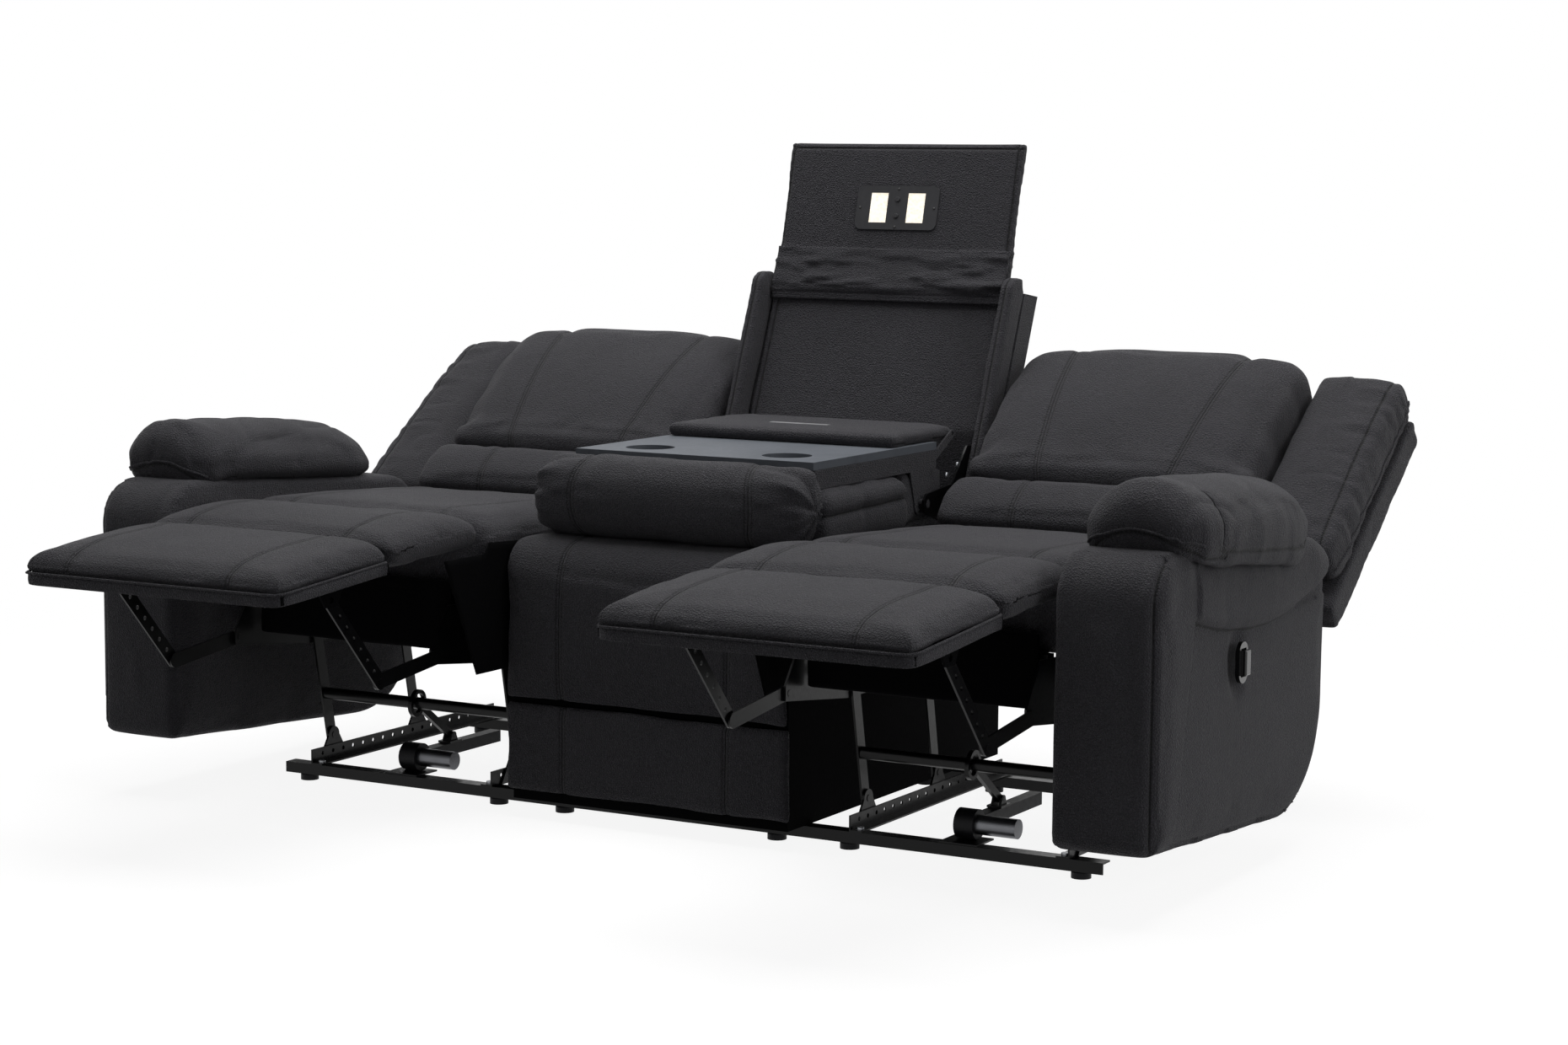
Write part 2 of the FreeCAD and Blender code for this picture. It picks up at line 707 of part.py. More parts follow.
def buildArm(side, name):
    """Arm body, its top pad and the switch on its outer face."""
    wide = span(side, armInnerX, armOuterX)
    fall = armSlope * (armRearY - armFrontY)
    corners = [
        (armFrontY, armBottomZ),
        (armRearY, armBottomZ - fall),
        (armRearY, armTop(armRearY)),
        (armFrontY, armTopZ),
    ]
    body = prism(corners, wide)

    def along(y, z):
        found = []
        for edge in body.Edges:
            box = edge.BoundBox
            if box.XLength > 1 and abs(box.YMin - y) < 0.01 and abs(box.ZMin - z) < 0.01:
                found.append(edge)
        return found

    body = body.makeFillet(armRearRound, along(*corners[1]))
    body = body.makeFillet(armRearCrown, along(*corners[2]))
    body = body.makeFillet(armCrown, along(*corners[3]))
    edges = []
    for edge in body.Edges:
        box = edge.BoundBox
        outer = max(abs(box.XMin), abs(box.XMax))
        flat = box.XLength < 0.01 and abs(outer - armOuterX) < 0.01
        if flat and box.YMax < armFrontY + 0.01:
            edges.append(edge)
    body = body.makeFillet(24.0, edges)
    keep("arm_" + name, body)

    rows = [
        (padFrontY, 0.5, 20.0), (padFrontY + 10, 0.7, 8.0), (padFrontY + 40, 0.9, 0.0),
        (padFrontY + 130, 1.0, 0.0), (padRearY - 220, 1.0, 0.0), (padRearY - 90, 0.93, 0.0),
        (padRearY - 16, 0.72, 4.0), (padRearY, 0.5, 16.0),
    ]
    pad = Part.makeLoft([padSection(*row) for row in rows], True, True)
    if side < 0:
        pad = pad.mirror(FreeCAD.Vector(0, 0, 0), FreeCAD.Vector(1, 0, 0))
    keep("arm_pad_" + name, pad)

    plate = block(
        span(side, armOuterX, armOuterX + bezelDepth),
        (switchY - bezelWidth / 2, switchY + bezelWidth / 2),
        (switchZ - bezelHeight / 2, switchZ + bezelHeight / 2),
    )
    upright = [edge for edge in plate.Edges if edge.BoundBox.XLength > 1]
    plate = plate.makeFillet(bezelWidth / 2 - 0.5, upright)
    well = block(
        span(side, armOuterX + 1.0, armOuterX + bezelDepth + 1),
        (switchY - rockerWidth / 2 - 0.5, switchY + rockerWidth / 2 + 0.5),
        (switchZ - rockerHeight / 2 - 2.5, switchZ + rockerHeight / 2 + 2.5),
    )
    keep("switch_bezel_" + name, plate.cut(well))
    rocker = block(
        span(side, armOuterX + bezelDepth - 2.5, armOuterX + bezelDepth + 9),
        (switchY - rockerWidth / 2, switchY + rockerWidth / 2),
        (switchZ - rockerHeight / 2, switchZ + rockerHeight / 2),
    )
    face = armOuterX + bezelDepth + 9
    lips = []
    for edge in rocker.Edges:
        box = edge.BoundBox
        if box.XLength < 0.01 and abs(max(abs(box.XMin), abs(box.XMax)) - face) < 0.01:
            lips.append(edge)
    keep("switch_rocker_" + name, rocker.makeFillet(3.0, lips))
    print("pivot", "switch", switchY, switchZ, armOuterX + bezelDepth)


def nichePlane(z, forward=0.0):
    """Y of the recess's rear face at a height, or of a plane in front of it."""
    lean = math.radians(nicheLean)
    return nicheFaceY + (z - nicheFaceZ) * math.tan(lean) - forward / math.cos(lean)


def buildCentreSeat():
    """Box, front panels and cushion of the fixed centre seat."""
    wide = (-boxHalf, boxHalf)
    outline = [
        (boxFrontY, railTop), (boxRearY, railTop), (boxRearY, boxRearZ),
        (pocketFrontY, boxRearZ), (pocketFrontY, boxDeckZ), (boxFrontY, boxDeckZ),
    ]
    notch = [(rearRailY - 2, railTop - 1), (rearRailY + railDepth + 2, railTop - 1),
             (rearRailY + railDepth + 2, railTop + 0.3), (rearRailY - 2, railTop + 0.3)]
    keep("centre_seat_box", prism(outline, wide).cut(prism(notch, (wide[0] - 1, wide[1] + 1))))
    front = (centreFrontY, boxFrontY - seatingGap)
    kick = block((-centreHalf, centreHalf), front, (kickBottomZ, kickSeamZ - 2))
    keep("kick_panel", softened(kick, 5.0))
    drop = block((-centreHalf, centreHalf), front, (kickSeamZ, boxDeckZ))
    across = (-centreHalf, centreHalf)
    top = block(across, (centreFrontY, centreSeatRearY), (boxDeckZ + seatingGap, centreSeatTop))
    corner = block(across, front, (boxDeckZ - 5, boxDeckZ + 5))
    body = top.fuse([drop, corner]).removeSplitter()

    def crest(edge):
        box = edge.BoundBox
        high = abs(box.ZMin - centreSeatTop) < 0.01
        return box.XLength > 1 and high and abs(box.YMin - centreFrontY) < 0.01

    body = body.makeFillet(62.0, [edge for edge in body.Edges if crest(edge)])
    keep("centre_seat_cushion", body)


def buildCentreBack():
    """Shell, recess panel and side bolsters of the centre back."""
    lean = math.radians(nicheLean)
    back = centreBackGauge / math.cos(lean)
    skin = nichePanelGauge / math.cos(lean)
    wide = (-bolsterOuterX, bolsterOuterX)
    inner = (-bolsterInnerX, bolsterInnerX)
    shell = prism([
        (nicheFootY + skin, boxRearZ),
        (nicheFootY + skin, nicheFaceZ - 8),
        (nichePlane(nicheTopZ) + skin, nicheTopZ),
        (nichePlane(nicheTopZ) + back, nicheTopZ - 8),
        (nichePlane(620) + back, 620),
        (nichePlane(620) + back, boxRearZ),
    ], wide)
    hingeZ = nicheTopZ + flapRise
    hingeY = nichePlane(hingeZ, flapOffset)
    ears = []
    for side in (-1, 1):
        flat = span(side, flapEar, flapEar + 10)
        rear = nichePlane(nicheTopZ) + skin + 2.0
        tab = block(flat, (hingeY - 4, rear + 18), (nicheTopZ + seatingGap, hingeZ - 4))
        root = block(flat, (rear, rear + 18), (nicheTopZ - 6, nicheTopZ + 2))
        ear = rod(flat, hingeY, hingeZ, 10.0).fuse([tab, root])
        ears.append(ear.cut(rod((flat[0] - 1, flat[1] + 1), hingeY, hingeZ, lidPin + pinClearance)))
    keep("centre_back_shell", shell.fuse(ears).removeSplitter())
    low = boxRearZ + 30
    panel = prism([
        (nicheFootY, low), (nicheFootY, nicheFaceZ - 8), (nichePlane(nicheTopZ), nicheTopZ),
        (nichePlane(nicheTopZ) + skin - seatingGap, nicheTopZ),
        (nicheFootY + skin - seatingGap, nicheFaceZ - 8), (nicheFootY + skin - seatingGap, low),
    ], (inner[0] + 1, inner[1] - 1))
    keep("niche_panel", panel)
    for side in (-1, 1):
        edge = skin - seatingGap
        outline = [
            (nichePlane(bolsterLowZ, bolsterForward), bolsterLowZ),
            (nichePlane(bolsterTopZ - 14, bolsterForward), bolsterTopZ - 14),
            (nichePlane(bolsterTopZ, bolsterForward) + 14, bolsterTopZ),
            (nichePlane(bolsterTopZ) - 8, bolsterTopZ),
            (nichePlane(nicheTopZ) + edge, nicheTopZ),
            (nicheFootY + edge, nicheFaceZ - 8),
            (nicheFootY + edge, bolsterLowZ),
        ]
        keep("centre_bolsters", softened(prism(outline, span(side, bolsterInnerX, bolsterOuterX)), 4.0))
    rear = nichePlane(620) + back
    inlet = block((60.0, 88.0), (rear, rear + 5), (360.0, 384.0))
    socket = Part.makeCylinder(5.5, 6.0, FreeCAD.Vector(74.0, rear + 1, 372.0), FreeCAD.Vector(0, 1, 0))
    keep("power_inlet", inlet.cut(socket))


def buildConsole():
    """The table that drops out of the centre back, with its tray, lid and pillow."""
    wide = (-tableHalf, tableHalf)
    box = block(wide, (tableFrontY, tableRearY), (tableBoxLow, tableBoxHigh))
    inside = (tableFrontY + 14, tableRearY - 14)
    hollow = block((wide[0] + 14, wide[1] - 14), inside, (tableBoxLow + 5, tableBoxHigh + 1))
    box = box.cut(hollow)
    for side in (-1, 1):
        cheek = span(side, tableHalf - hingePlate, tableHalf)
        plate = prism([
            (tableHingeY - 24, tableHingeZ), (tableHingeY + 24, tableHingeZ),
            (tableHingeY + 44, tableBoxLow + 4), (tableHingeY - 44, tableBoxLow + 4),
        ], cheek).fuse(rod(cheek, tableHingeY, tableHingeZ, 24.0))
        pin = rod(span(side, tableHalf - 2, bolsterInnerX - 0.5), tableHingeY, tableHingeZ, hingePin)
        arm = span(side, tableHalf - hingePlate, tableHalf)
        carrier = strap(arm, (tableRearY - 14, tableBoxLow + 16), (lidPivotY, lidPivotZ), 7.5)
        carrier = carrier.cut(rod((arm[0] - 1, arm[1] + 1), lidPivotY, lidPivotZ, lidPin + pinClearance))
        box = box.fuse([plate, pin, carrier])
    keep("table_box", box.removeSplitter())

    tray = block(wide, (trayFrontY, tableRearY), (tableBoxHigh, tableTop))
    hollows = []
    for side in (-1, 1):
        place = FreeCAD.Vector(side * cupX, cupY, tableBoxHigh - cupDepth + 16)
        tray = tray.fuse(Part.makeCylinder(cupRadius + wall, cupDepth - 10, place))
        place = FreeCAD.Vector(side * cupX, cupY, tableBoxHigh - cupDepth + 16 + wall)
        hollows.append(Part.makeCylinder(cupRadius, cupDepth + 20, place))
    low = tableTop - binDepth
    binX = (-binHalfX - wall, binHalfX + wall)
    tray = tray.fuse(block(binX, (binFrontY - wall, binRearY + wall), (low, tableTop)))
    hollows.append(block((-binHalfX, binHalfX), (binFrontY, binRearY), (low + wall, tableTop + 1)))
    keep("table_tray", tray.cut(hollows).removeSplitter())

    lid = block((-lidHalf, lidHalf), (lidFrontY, lidRearY), (tableTop + seatingGap, tableTop + lidHeight))
    lid = lid.makeFillet(8.0, lid.Edges)
    keep("table_lid", lid.fuse(rod((-tableHalf + 0.5, tableHalf - 0.5), lidPivotY, lidPivotZ, lidPin)))

    depth = tableBoxLow - pillowBottom - 1.0
    run = pillowWideRearY - rollRearY - 0.4
    start = (rollRearY + 0.4, pillowBottom)
    keep("table_pillow", cushion((-pillowWide, pillowWide), start, 0.0, run, depth, 20.0, 0.0))
    neck = (pillowWideRearY + 0.2, pillowRearY)
    shape = block((-pillowNarrow, pillowNarrow), neck, (pillowBottom + 6, tableBoxLow - seatingGap))
    keep("table_pillow", softened(shape, 14.0))
    start = (rollFrontY, pillowBottom)
    height = tableTop - pillowBottom - 2
    roll = cushion((-rollHalf, rollHalf), start, 0.0, rollRearY - rollFrontY, height, 40.0, 0.0)
    keep("table_pillow", roll)

    for side in (-1, 1):
        outline = [
            (tableHingeY - 18, tableHingeZ - 14), (560, 500), (700, 560), (700, 640), (650, 640),
            (tableHingeY + 100, tableHingeZ + 28), (tableHingeY - 6, tableHingeZ + 18),
            (tableHingeY - 18, tableHingeZ + 8),
        ]
        plate = prism(outline, span(side, bolsterInnerX - hingePlate, bolsterInnerX))
        bore = span(side, bolsterInnerX - 10, bolsterInnerX + 1)
        plate = plate.cut(rod(bore, tableHingeY, tableHingeZ, hingePin + pinClearance))
        keep("console_hinge_brackets", plate)
    print("pivot", "table", tableHingeY, tableHingeZ)
    print("pivot", "lid", lidPivotY, lidPivotZ)


def buildLightPanel():
    """The flap above the recess, with two reading lights and their buttons."""
    hingeZ = nicheTopZ + flapRise
    hingeY = nichePlane(hingeZ, flapOffset)
    lean = math.radians(flapLean)
    up = (math.sin(lean), math.cos(lean))
    rear = (math.cos(lean), -math.sin(lean))

    def at(along, behind):
        return hingeY + along * up[0] + behind * rear[0], hingeZ + along * up[1] + behind * rear[1]

    wide = (-flapHalf, flapHalf)
    outline = [at(6, 0), at(flapLength, 0), at(flapLength, flapGauge), at(6, flapGauge)]
    board = softened(prism(outline, wide), 8.0)
    notches = []
    for side in (-1, 1):
        outline = [at(-8, -4), at(flapNotch, -4), at(flapNotch, 40), at(-8, 40)]
        notches.append(prism(outline, span(side, flapEar - 2, flapEar + 12)))
    board = board.cut(notches)
    board = board.fuse([
        rod((-flapEar + 3, flapEar - 3), hingeY, hingeZ, flapBarrel),
        rod((-flapEar - 9.5, flapEar + 9.5), hingeY, hingeZ, lidPin),
    ])
    normal = FreeCAD.Vector(0, -rear[0], -rear[1])
    middle = at(lightUp, 0)

    def panelBox(x, along, deep, stand):
        """A block on the panel's front face, from deep inside to standing proud."""
        corners = [at(along[0], deep), at(along[1], deep), at(along[1], -stand), at(along[0], -stand)]
        return prism(corners, x)

    half = lightTall / 2
    cupHalf = lightWide / 2 - 8
    cup = panelBox((-cupHalf, cupHalf), (lightUp - half + 8, lightUp + half - 8), 14.0, 1.0)
    keep("light_panel", board.cut(cup).removeSplitter())
    bezel = panelBox((-lightWide / 2, lightWide / 2), (lightUp - half, lightUp + half), -0.2, bezelStand)
    edges = [edge for edge in bezel.Edges if edge.BoundBox.XLength < 0.01 and edge.Length < bezelStand + 0.5]
    bezel = bezel.makeFillet(14.0, edges)
    for side in (-1, 1):
        x = side * lensApart / 2
        window = (x - lensWide / 2, x + lensWide / 2)
        along = (lightUp - lensTall / 2, lightUp + lensTall / 2)
        bezel = bezel.cut(panelBox(window, along, 1.0, bezelStand + 1))
        pane = (window[0] + 0.3, window[1] - 0.3)
        height = (along[0] + 0.3, along[1] - 0.3)
        keep("light_lenses", panelBox(pane, height, 0.5, bezelStand - 1.0))
    for name, offset in (("upper", buttonApart / 2), ("lower", -buttonApart / 2)):
        y, z = at(lightUp + offset, 2.5)
        hole = Part.makeCylinder(buttonRadius + 0.4, 9.0, FreeCAD.Vector(0, y, z), normal)
        bezel = bezel.cut(hole)
        reach = 2.5 + bezelStand + buttonStand
        button = Part.makeCylinder(buttonRadius, reach, FreeCAD.Vector(0, y, z), normal)
        keep("light_button_" + name, button.makeFillet(1.2, [button.Edges[0]]))
    keep("light_bezel", bezel.removeSplitter())
    print("pivot", "flap", round(hingeY, 3), round(hingeZ, 3))
    print("pivot", "button", round(rear[0], 5), round(rear[1], 5))


def main():
    """Builds every piece, centres the sofa over its origin and writes the files."""
    os.makedirs("parts", exist_ok=True)
    buildFloorFrame()
    for side, name in ((-1, "left"), (1, "right")):
        buildDrive(side, name)
        buildSwingLinks(side, name)
        buildSeat(side, name)
        buildBack(side, name)
        buildFootrest(side, name)
        buildArm(side, name)
    buildCentreSeat()
    buildCentreBack()
    buildConsole()
    buildLightPanel()
    everything = Part.makeCompound([shape for shapes in sofa.values() for shape in shapes])
    box = everything.optimalBoundingBox(False, False)
    shift = FreeCAD.Vector(0, -(box.YMin + box.YMax) / 2, 0)
    print("shift", round(shift.y, 4))
    print("size", round(box.XLength, 2), round(box.YLength, 2), round(box.ZLength, 2), round(box.ZMin, 3))
    for node, shapes in sofa.items():
        whole = shapes[0] if len(shapes) == 1 else Part.makeCompound(shapes)
        whole.translate(shift)
        whole.exportStep("parts/" + node + ".step")
        solids = whole.Solids
        valid = all(solid.isValid() and solid.Volume > 0 for solid in solids)
        print("node", node, len(solids), "solids", valid)


main()
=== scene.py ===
import bpy
import bmesh
import json
import math
import numpy as np
from itertools import product
from mathutils import Matrix, Vector
from mathutils.bvhtree import BVHTree


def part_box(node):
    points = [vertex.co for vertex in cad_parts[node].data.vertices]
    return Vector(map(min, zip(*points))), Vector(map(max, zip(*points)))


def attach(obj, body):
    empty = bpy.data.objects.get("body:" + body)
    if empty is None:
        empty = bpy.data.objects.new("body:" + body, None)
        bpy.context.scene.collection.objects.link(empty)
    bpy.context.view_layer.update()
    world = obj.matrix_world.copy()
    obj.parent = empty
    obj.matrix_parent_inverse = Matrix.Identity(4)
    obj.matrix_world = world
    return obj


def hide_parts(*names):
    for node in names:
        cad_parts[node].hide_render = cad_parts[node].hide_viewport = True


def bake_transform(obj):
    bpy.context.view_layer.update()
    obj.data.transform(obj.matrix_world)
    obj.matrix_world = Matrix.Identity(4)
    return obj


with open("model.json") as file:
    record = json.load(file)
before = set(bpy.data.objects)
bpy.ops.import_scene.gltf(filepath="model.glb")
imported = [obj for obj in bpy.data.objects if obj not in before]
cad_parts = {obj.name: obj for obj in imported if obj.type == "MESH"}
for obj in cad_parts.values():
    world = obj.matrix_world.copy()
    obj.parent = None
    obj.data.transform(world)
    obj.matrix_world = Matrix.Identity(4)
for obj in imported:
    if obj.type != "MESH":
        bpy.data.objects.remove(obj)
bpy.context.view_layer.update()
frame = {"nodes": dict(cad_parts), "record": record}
railShift = 116.9844  # lengths below are in mm, with the front rail at y = 0 as in the CAD

# materials

linear = lambda level: ((level / 255 + 0.055) / 1.055) ** 2.4 if level > 10 else level / 3294.6


def shade(red, green, blue):
    return (linear(red), linear(green), linear(blue), 1.0)


def operator(operation, swapped=False):
    return lambda self, other: self.maths(operation, *((other, self) if swapped else (self, other)))


class Signal:
    # one output socket, with sums written as plain expressions
    def __init__(self, finish, socket):
        self.finish = finish
        self.socket = socket

    def maths(self, operation, *values, clamp=False):
        settings = {"operation": operation, "use_clamp": clamp}
        return self.finish.node("ShaderNodeMath", settings, dict(enumerate(values)))

    __add__ = __radd__ = operator("ADD")
    __sub__, __rsub__ = operator("SUBTRACT"), operator("SUBTRACT", True)
    __mul__ = __rmul__ = operator("MULTIPLY")
    __truediv__ = operator("DIVIDE")
    __lt__ = operator("LESS_THAN")

    def __abs__(self):
        return self.maths("ABSOLUTE", self)

    def fract(self):
        return self.maths("FRACT", self)

    def held(self):
        return self.maths("ADD", self, 0.0, clamp=True)

    def line(self, width):
        return self.maths("SUBTRACT", 1.0, abs(self) / width, clamp=True)


class Finish:
    # a material under construction
    def __init__(self, name):
        self.material = bpy.data.materials.new(name)
        self.material.use_nodes = True
        self.tree = self.material.node_tree
        self.tree.nodes.clear()

    def node(self, kind, settings=None, sockets=None, out=0):
        made = self.tree.nodes.new(kind)
        for key, value in (settings or {}).items():
            setattr(made, key, value)
        for key, value in (sockets or {}).items():
            if isinstance(value, Signal):
                self.tree.links.new(value.socket, made.inputs[key])
            else:
                made.inputs[key].default_value = value
        return Signal(self, made.outputs[out])

    def place(self, stretch=(1.0, 1.0, 1.0)):
        where = self.node("ShaderNodeTexCoord", out="Object")
        return self.node("ShaderNodeMapping", {}, {"Vector": where, "Scale": stretch})

    def noise(self, size, detail=3.0, stretch=(1.0, 1.0, 1.0)):
        sockets = {"Vector": self.place(stretch), "Scale": 1000.0 / size, "Detail": detail}
        return self.node("ShaderNodeTexNoise", {}, sockets, "Fac")

    def cells(self, size, feature="DISTANCE_TO_EDGE"):
        sockets = {"Vector": self.place(), "Scale": 1000.0 / size}
        return self.node("ShaderNodeTexVoronoi", {"feature": feature}, sockets, "Distance")

    def blend(self, share, first, second):
        return self.node("ShaderNodeMix", {"data_type": "RGBA"}, {0: share, 6: first, 7: second}, 2)

    def reading(self, name):
        return self.node("ShaderNodeAttribute", {"attribute_name": name}, {}, "Fac")

    def surface(self, colour, roughness, height=None, depth=0.0005, **constants):
        sockets = {"Base Color": colour, "Roughness": roughness}
        if height is not None:
            bump = {"Height": height, "Strength": 1.0, "Distance": depth}
            sockets["Normal"] = self.node("ShaderNodeBump", {}, bump)
        for key, value in constants.items():
            sockets[key] = value
        shader = self.node("ShaderNodeBsdfPrincipled", {}, sockets)
        output = self.tree.nodes.new("ShaderNodeOutputMaterial")
        self.tree.links.new(shader.socket, output.inputs["Surface"])
        return self.material


leatherLook = {
    "low": shade(44, 43, 46), "high": shade(66, 65, 70), "worn": shade(86, 85, 91),
    "pebble": 4.2, "creases": 1.7, "thread": shade(22, 22, 24), "seam": shade(9, 9, 10),
    "rowApart": 6.0, "rowWidth": 2.0, "stitch": 8.0,
}


def leather(name, stitched=False):
    look = leatherLook
    made = Finish(name)
    pebble = (made.cells(look["pebble"]) * 3.2).held()
    fine = made.noise(look["creases"], 4.0)
    broad = made.noise(210.0, 2.0)
    patches = made.noise(34.0, 3.0)
    share = (pebble * 0.34 + patches * 0.5 + broad * 0.42 - 0.12).held()
    colour = made.blend(share, look["low"], look["high"])
    colour = made.blend((fine * 1.3 - 0.55).held(), colour, look["worn"])
    height = pebble * 1.1 + fine * 0.9 + patches * 1.2
    roughness = 0.66 - pebble * 0.1 + patches * 0.1
    if stitched:
        across = made.reading("seamAcross")
        along = made.reading("seamAlong")
        middle = across.line(1.6)
        rows = (abs(across) - look["rowApart"]).line(look["rowWidth"])
        thread = rows * ((along / look["stitch"]).fract() < 0.72)
        colour = made.blend((rows * 0.62).held(), colour, look["seam"])
        colour = made.blend(thread * 0.7, colour, look["thread"])
        colour = made.blend(middle * 0.85, colour, look["seam"])
        height = height - rows * 1.6 + thread * 1.5 - middle * 2.6
        single = made.reading("seamSingle").line(3.4)
        colour = made.blend(single * 0.95, colour, look["seam"])
        height = height - single * 3.0
    constants = {"Sheen Weight": 0.1, "Sheen Roughness": 0.5, "Specular IOR Level": 0.13}
    return made.surface(colour, roughness, height, 0.0016, **constants)


def woven(name, low, high, size):
    made = Finish(name)
    threads = made.noise(size, 2.0, (1.0, 1.0, 0.25)) + made.noise(size, 2.0, (0.25, 1.0, 1.0))
    share = (threads - 0.5).held()
    return made.surface(made.blend(share, low, high), 0.92, threads, 0.0004, **{"Specular IOR Level": 0.04})


def painted(name, low, high, roughness, grain, metallic=0.0, coat=0.0):
    # moulded, painted or plated parts: slight tone drift, orange peel and dust
    made = Finish(name)
    drift = made.noise(70.0, 3.0)
    peel = made.noise(grain, 2.0)
    dust = (made.noise(9.0, 5.0) * 1.7 - 0.6).held()
    colour = made.blend((drift * 0.8 + dust * 0.3 - 0.15).held(), low, high)
    constants = {"Metallic": metallic, "Coat Weight": coat, "Specular IOR Level": 0.14}
    return made.surface(colour, roughness + dust * 0.14 + drift * 0.06 - 0.05, peel, 0.00012, **constants)


def brushed(name, low, high):
    made = Finish(name)
    lines = made.noise(5.0, 4.0, (0.05, 1.0, 1.0))
    drift = made.noise(30.0, 3.0)
    colour = made.blend((lines * 0.6 + drift * 0.4).held(), low, high)
    return made.surface(colour, 0.26 + lines * 0.22, lines, 0.0001, Metallic=0.95)


def litLens(name):
    made = Finish(name)
    dots = (made.cells(7.0, "F1") * 1.5).held()
    warm = made.blend(dots, (0.95, 0.8, 0.6, 1.0), (1.0, 0.95, 0.84, 1.0))
    glow = {"Emission Color": warm, "Emission Strength": 0.72}
    return made.surface(warm, 0.25 + dots * 0.1, dots, 0.0004, **glow)


finishes = {
    "charcoal_leather": leather("charcoalLeather"),
    "stitched": leather("charcoalLeatherStitched", True),
    "black_lining": woven("blackLining", shade(3, 3, 4), shade(9, 9, 10), 2.4),
    "black_steel": painted("blackSteel", shade(3, 3, 4), shade(9, 9, 10), 0.34, 3.0, 0.0, 0.08),
    "bright_steel": brushed("brightSteel", shade(120, 122, 126), shade(190, 192, 196)),
    "motor_grey": brushed("motorGrey", shade(66, 67, 70), shade(128, 129, 133)),
    "black_plastic": painted("blackPlastic", shade(20, 20, 22), shade(34, 34, 37), 0.48, 1.6),
    "switch_black": painted("switchBlack", shade(12, 12, 13), shade(22, 22, 24), 0.22, 2.4, 0.0, 0.6),
    "tray_grey": painted("trayGrey", shade(86, 90, 96), shade(112, 116, 123), 0.5, 1.1),
    "bezel_grey": painted("bezelGrey", shade(58, 58, 60), shade(76, 76, 79), 0.42, 1.3),
    "lens_warm": litLens("lensWarm"),
    "pale_trim": painted("paleTrim", shade(150, 150, 152), shade(196, 196, 198), 0.35, 2.0, 0.4),
    "thread": painted("thread", shade(28, 28, 30), shade(40, 40, 43), 0.7, 0.8),
}
nodeSlots = {}
for material in frame["record"]["materials"]:
    for node in material.get("nodes", []):
        nodeSlots[node] = material["slot"]
for name, node in frame["nodes"].items():
    for holder in node.material_slots:
        key = holder.material.name.split(".")[0]
        if key not in finishes:
            key = nodeSlots.get(name, "black_steel")
        nodeSlots[name] = key
        holder.material = finishes[key]
for holder in frame["nodes"]["table_box"].material_slots:
    holder.material = finishes["charcoal_leather"]
print("materials made and given to", len(frame["nodes"]), "CAD nodes")

# camera, room and lamps

roomLook = {
    "cameraAt": (2.9117, -4.86428, 1.1947), "yaw": 29.44, "pitch": 6.68, "roll": 0.387, "lens": 73.203,
    "ambient": 0.06, "floorGlow": 0.9, "floorHalf": 16.0,
}


def aimCamera():
    look = roomLook
    yaw, pitch, roll = (math.radians(look[key]) for key in ("yaw", "pitch", "roll"))
    ahead = Vector((-math.sin(yaw) * math.cos(pitch), math.cos(yaw) * math.cos(pitch), -math.sin(pitch)))
    level = Vector((math.cos(yaw), math.sin(yaw), 0.0))
    above = level.cross(ahead)
    right = level * math.cos(roll) + above * math.sin(roll)
    up = above * math.cos(roll) - level * math.sin(roll)
    data = bpy.data.cameras.new("camera")
    data.lens = look["lens"]
    data.sensor_width = 36.0
    data.clip_end = 60.0
    camera = bpy.data.objects.new("camera", data)
    turn = Matrix((right, up, -ahead)).transposed().to_4x4()
    camera.matrix_world = Matrix.Translation(look["cameraAt"]) @ turn
    bpy.context.scene.collection.objects.link(camera)
    bpy.context.scene.camera = camera


def lamp(name, place, target, size, power, colour=(1.0, 1.0, 1.0)):
    data = bpy.data.lights.new(name, "AREA")
    data.shape = "RECTANGLE"
    data.size, data.size_y = size
    data.energy = power
    data.color = colour
    made = bpy.data.objects.new(name, data)
    made.location = place
    made.rotation_euler = (Vector(target) - Vector(place)).to_track_quat("-Z", "Y").to_euler()
    made.visible_camera = False
    bpy.context.scene.collection.objects.link(made)


def seenDirectly(tree):
    # one for camera, mirror and glass rays, and nought for the light that falls on the sofa
    path = tree.nodes.new("ShaderNodeLightPath")
    outputs = [path.outputs[key] for key in ("Is Camera Ray", "Is Glossy Ray", "Is Transmission Ray")]
    total = outputs[0]
    for other in outputs[1:]:
        most = tree.nodes.new("ShaderNodeMath")
        most.operation = "MAXIMUM"
        tree.links.new(total, most.inputs[0])
        tree.links.new(other, most.inputs[1])
        total = most.outputs[0]
    return total


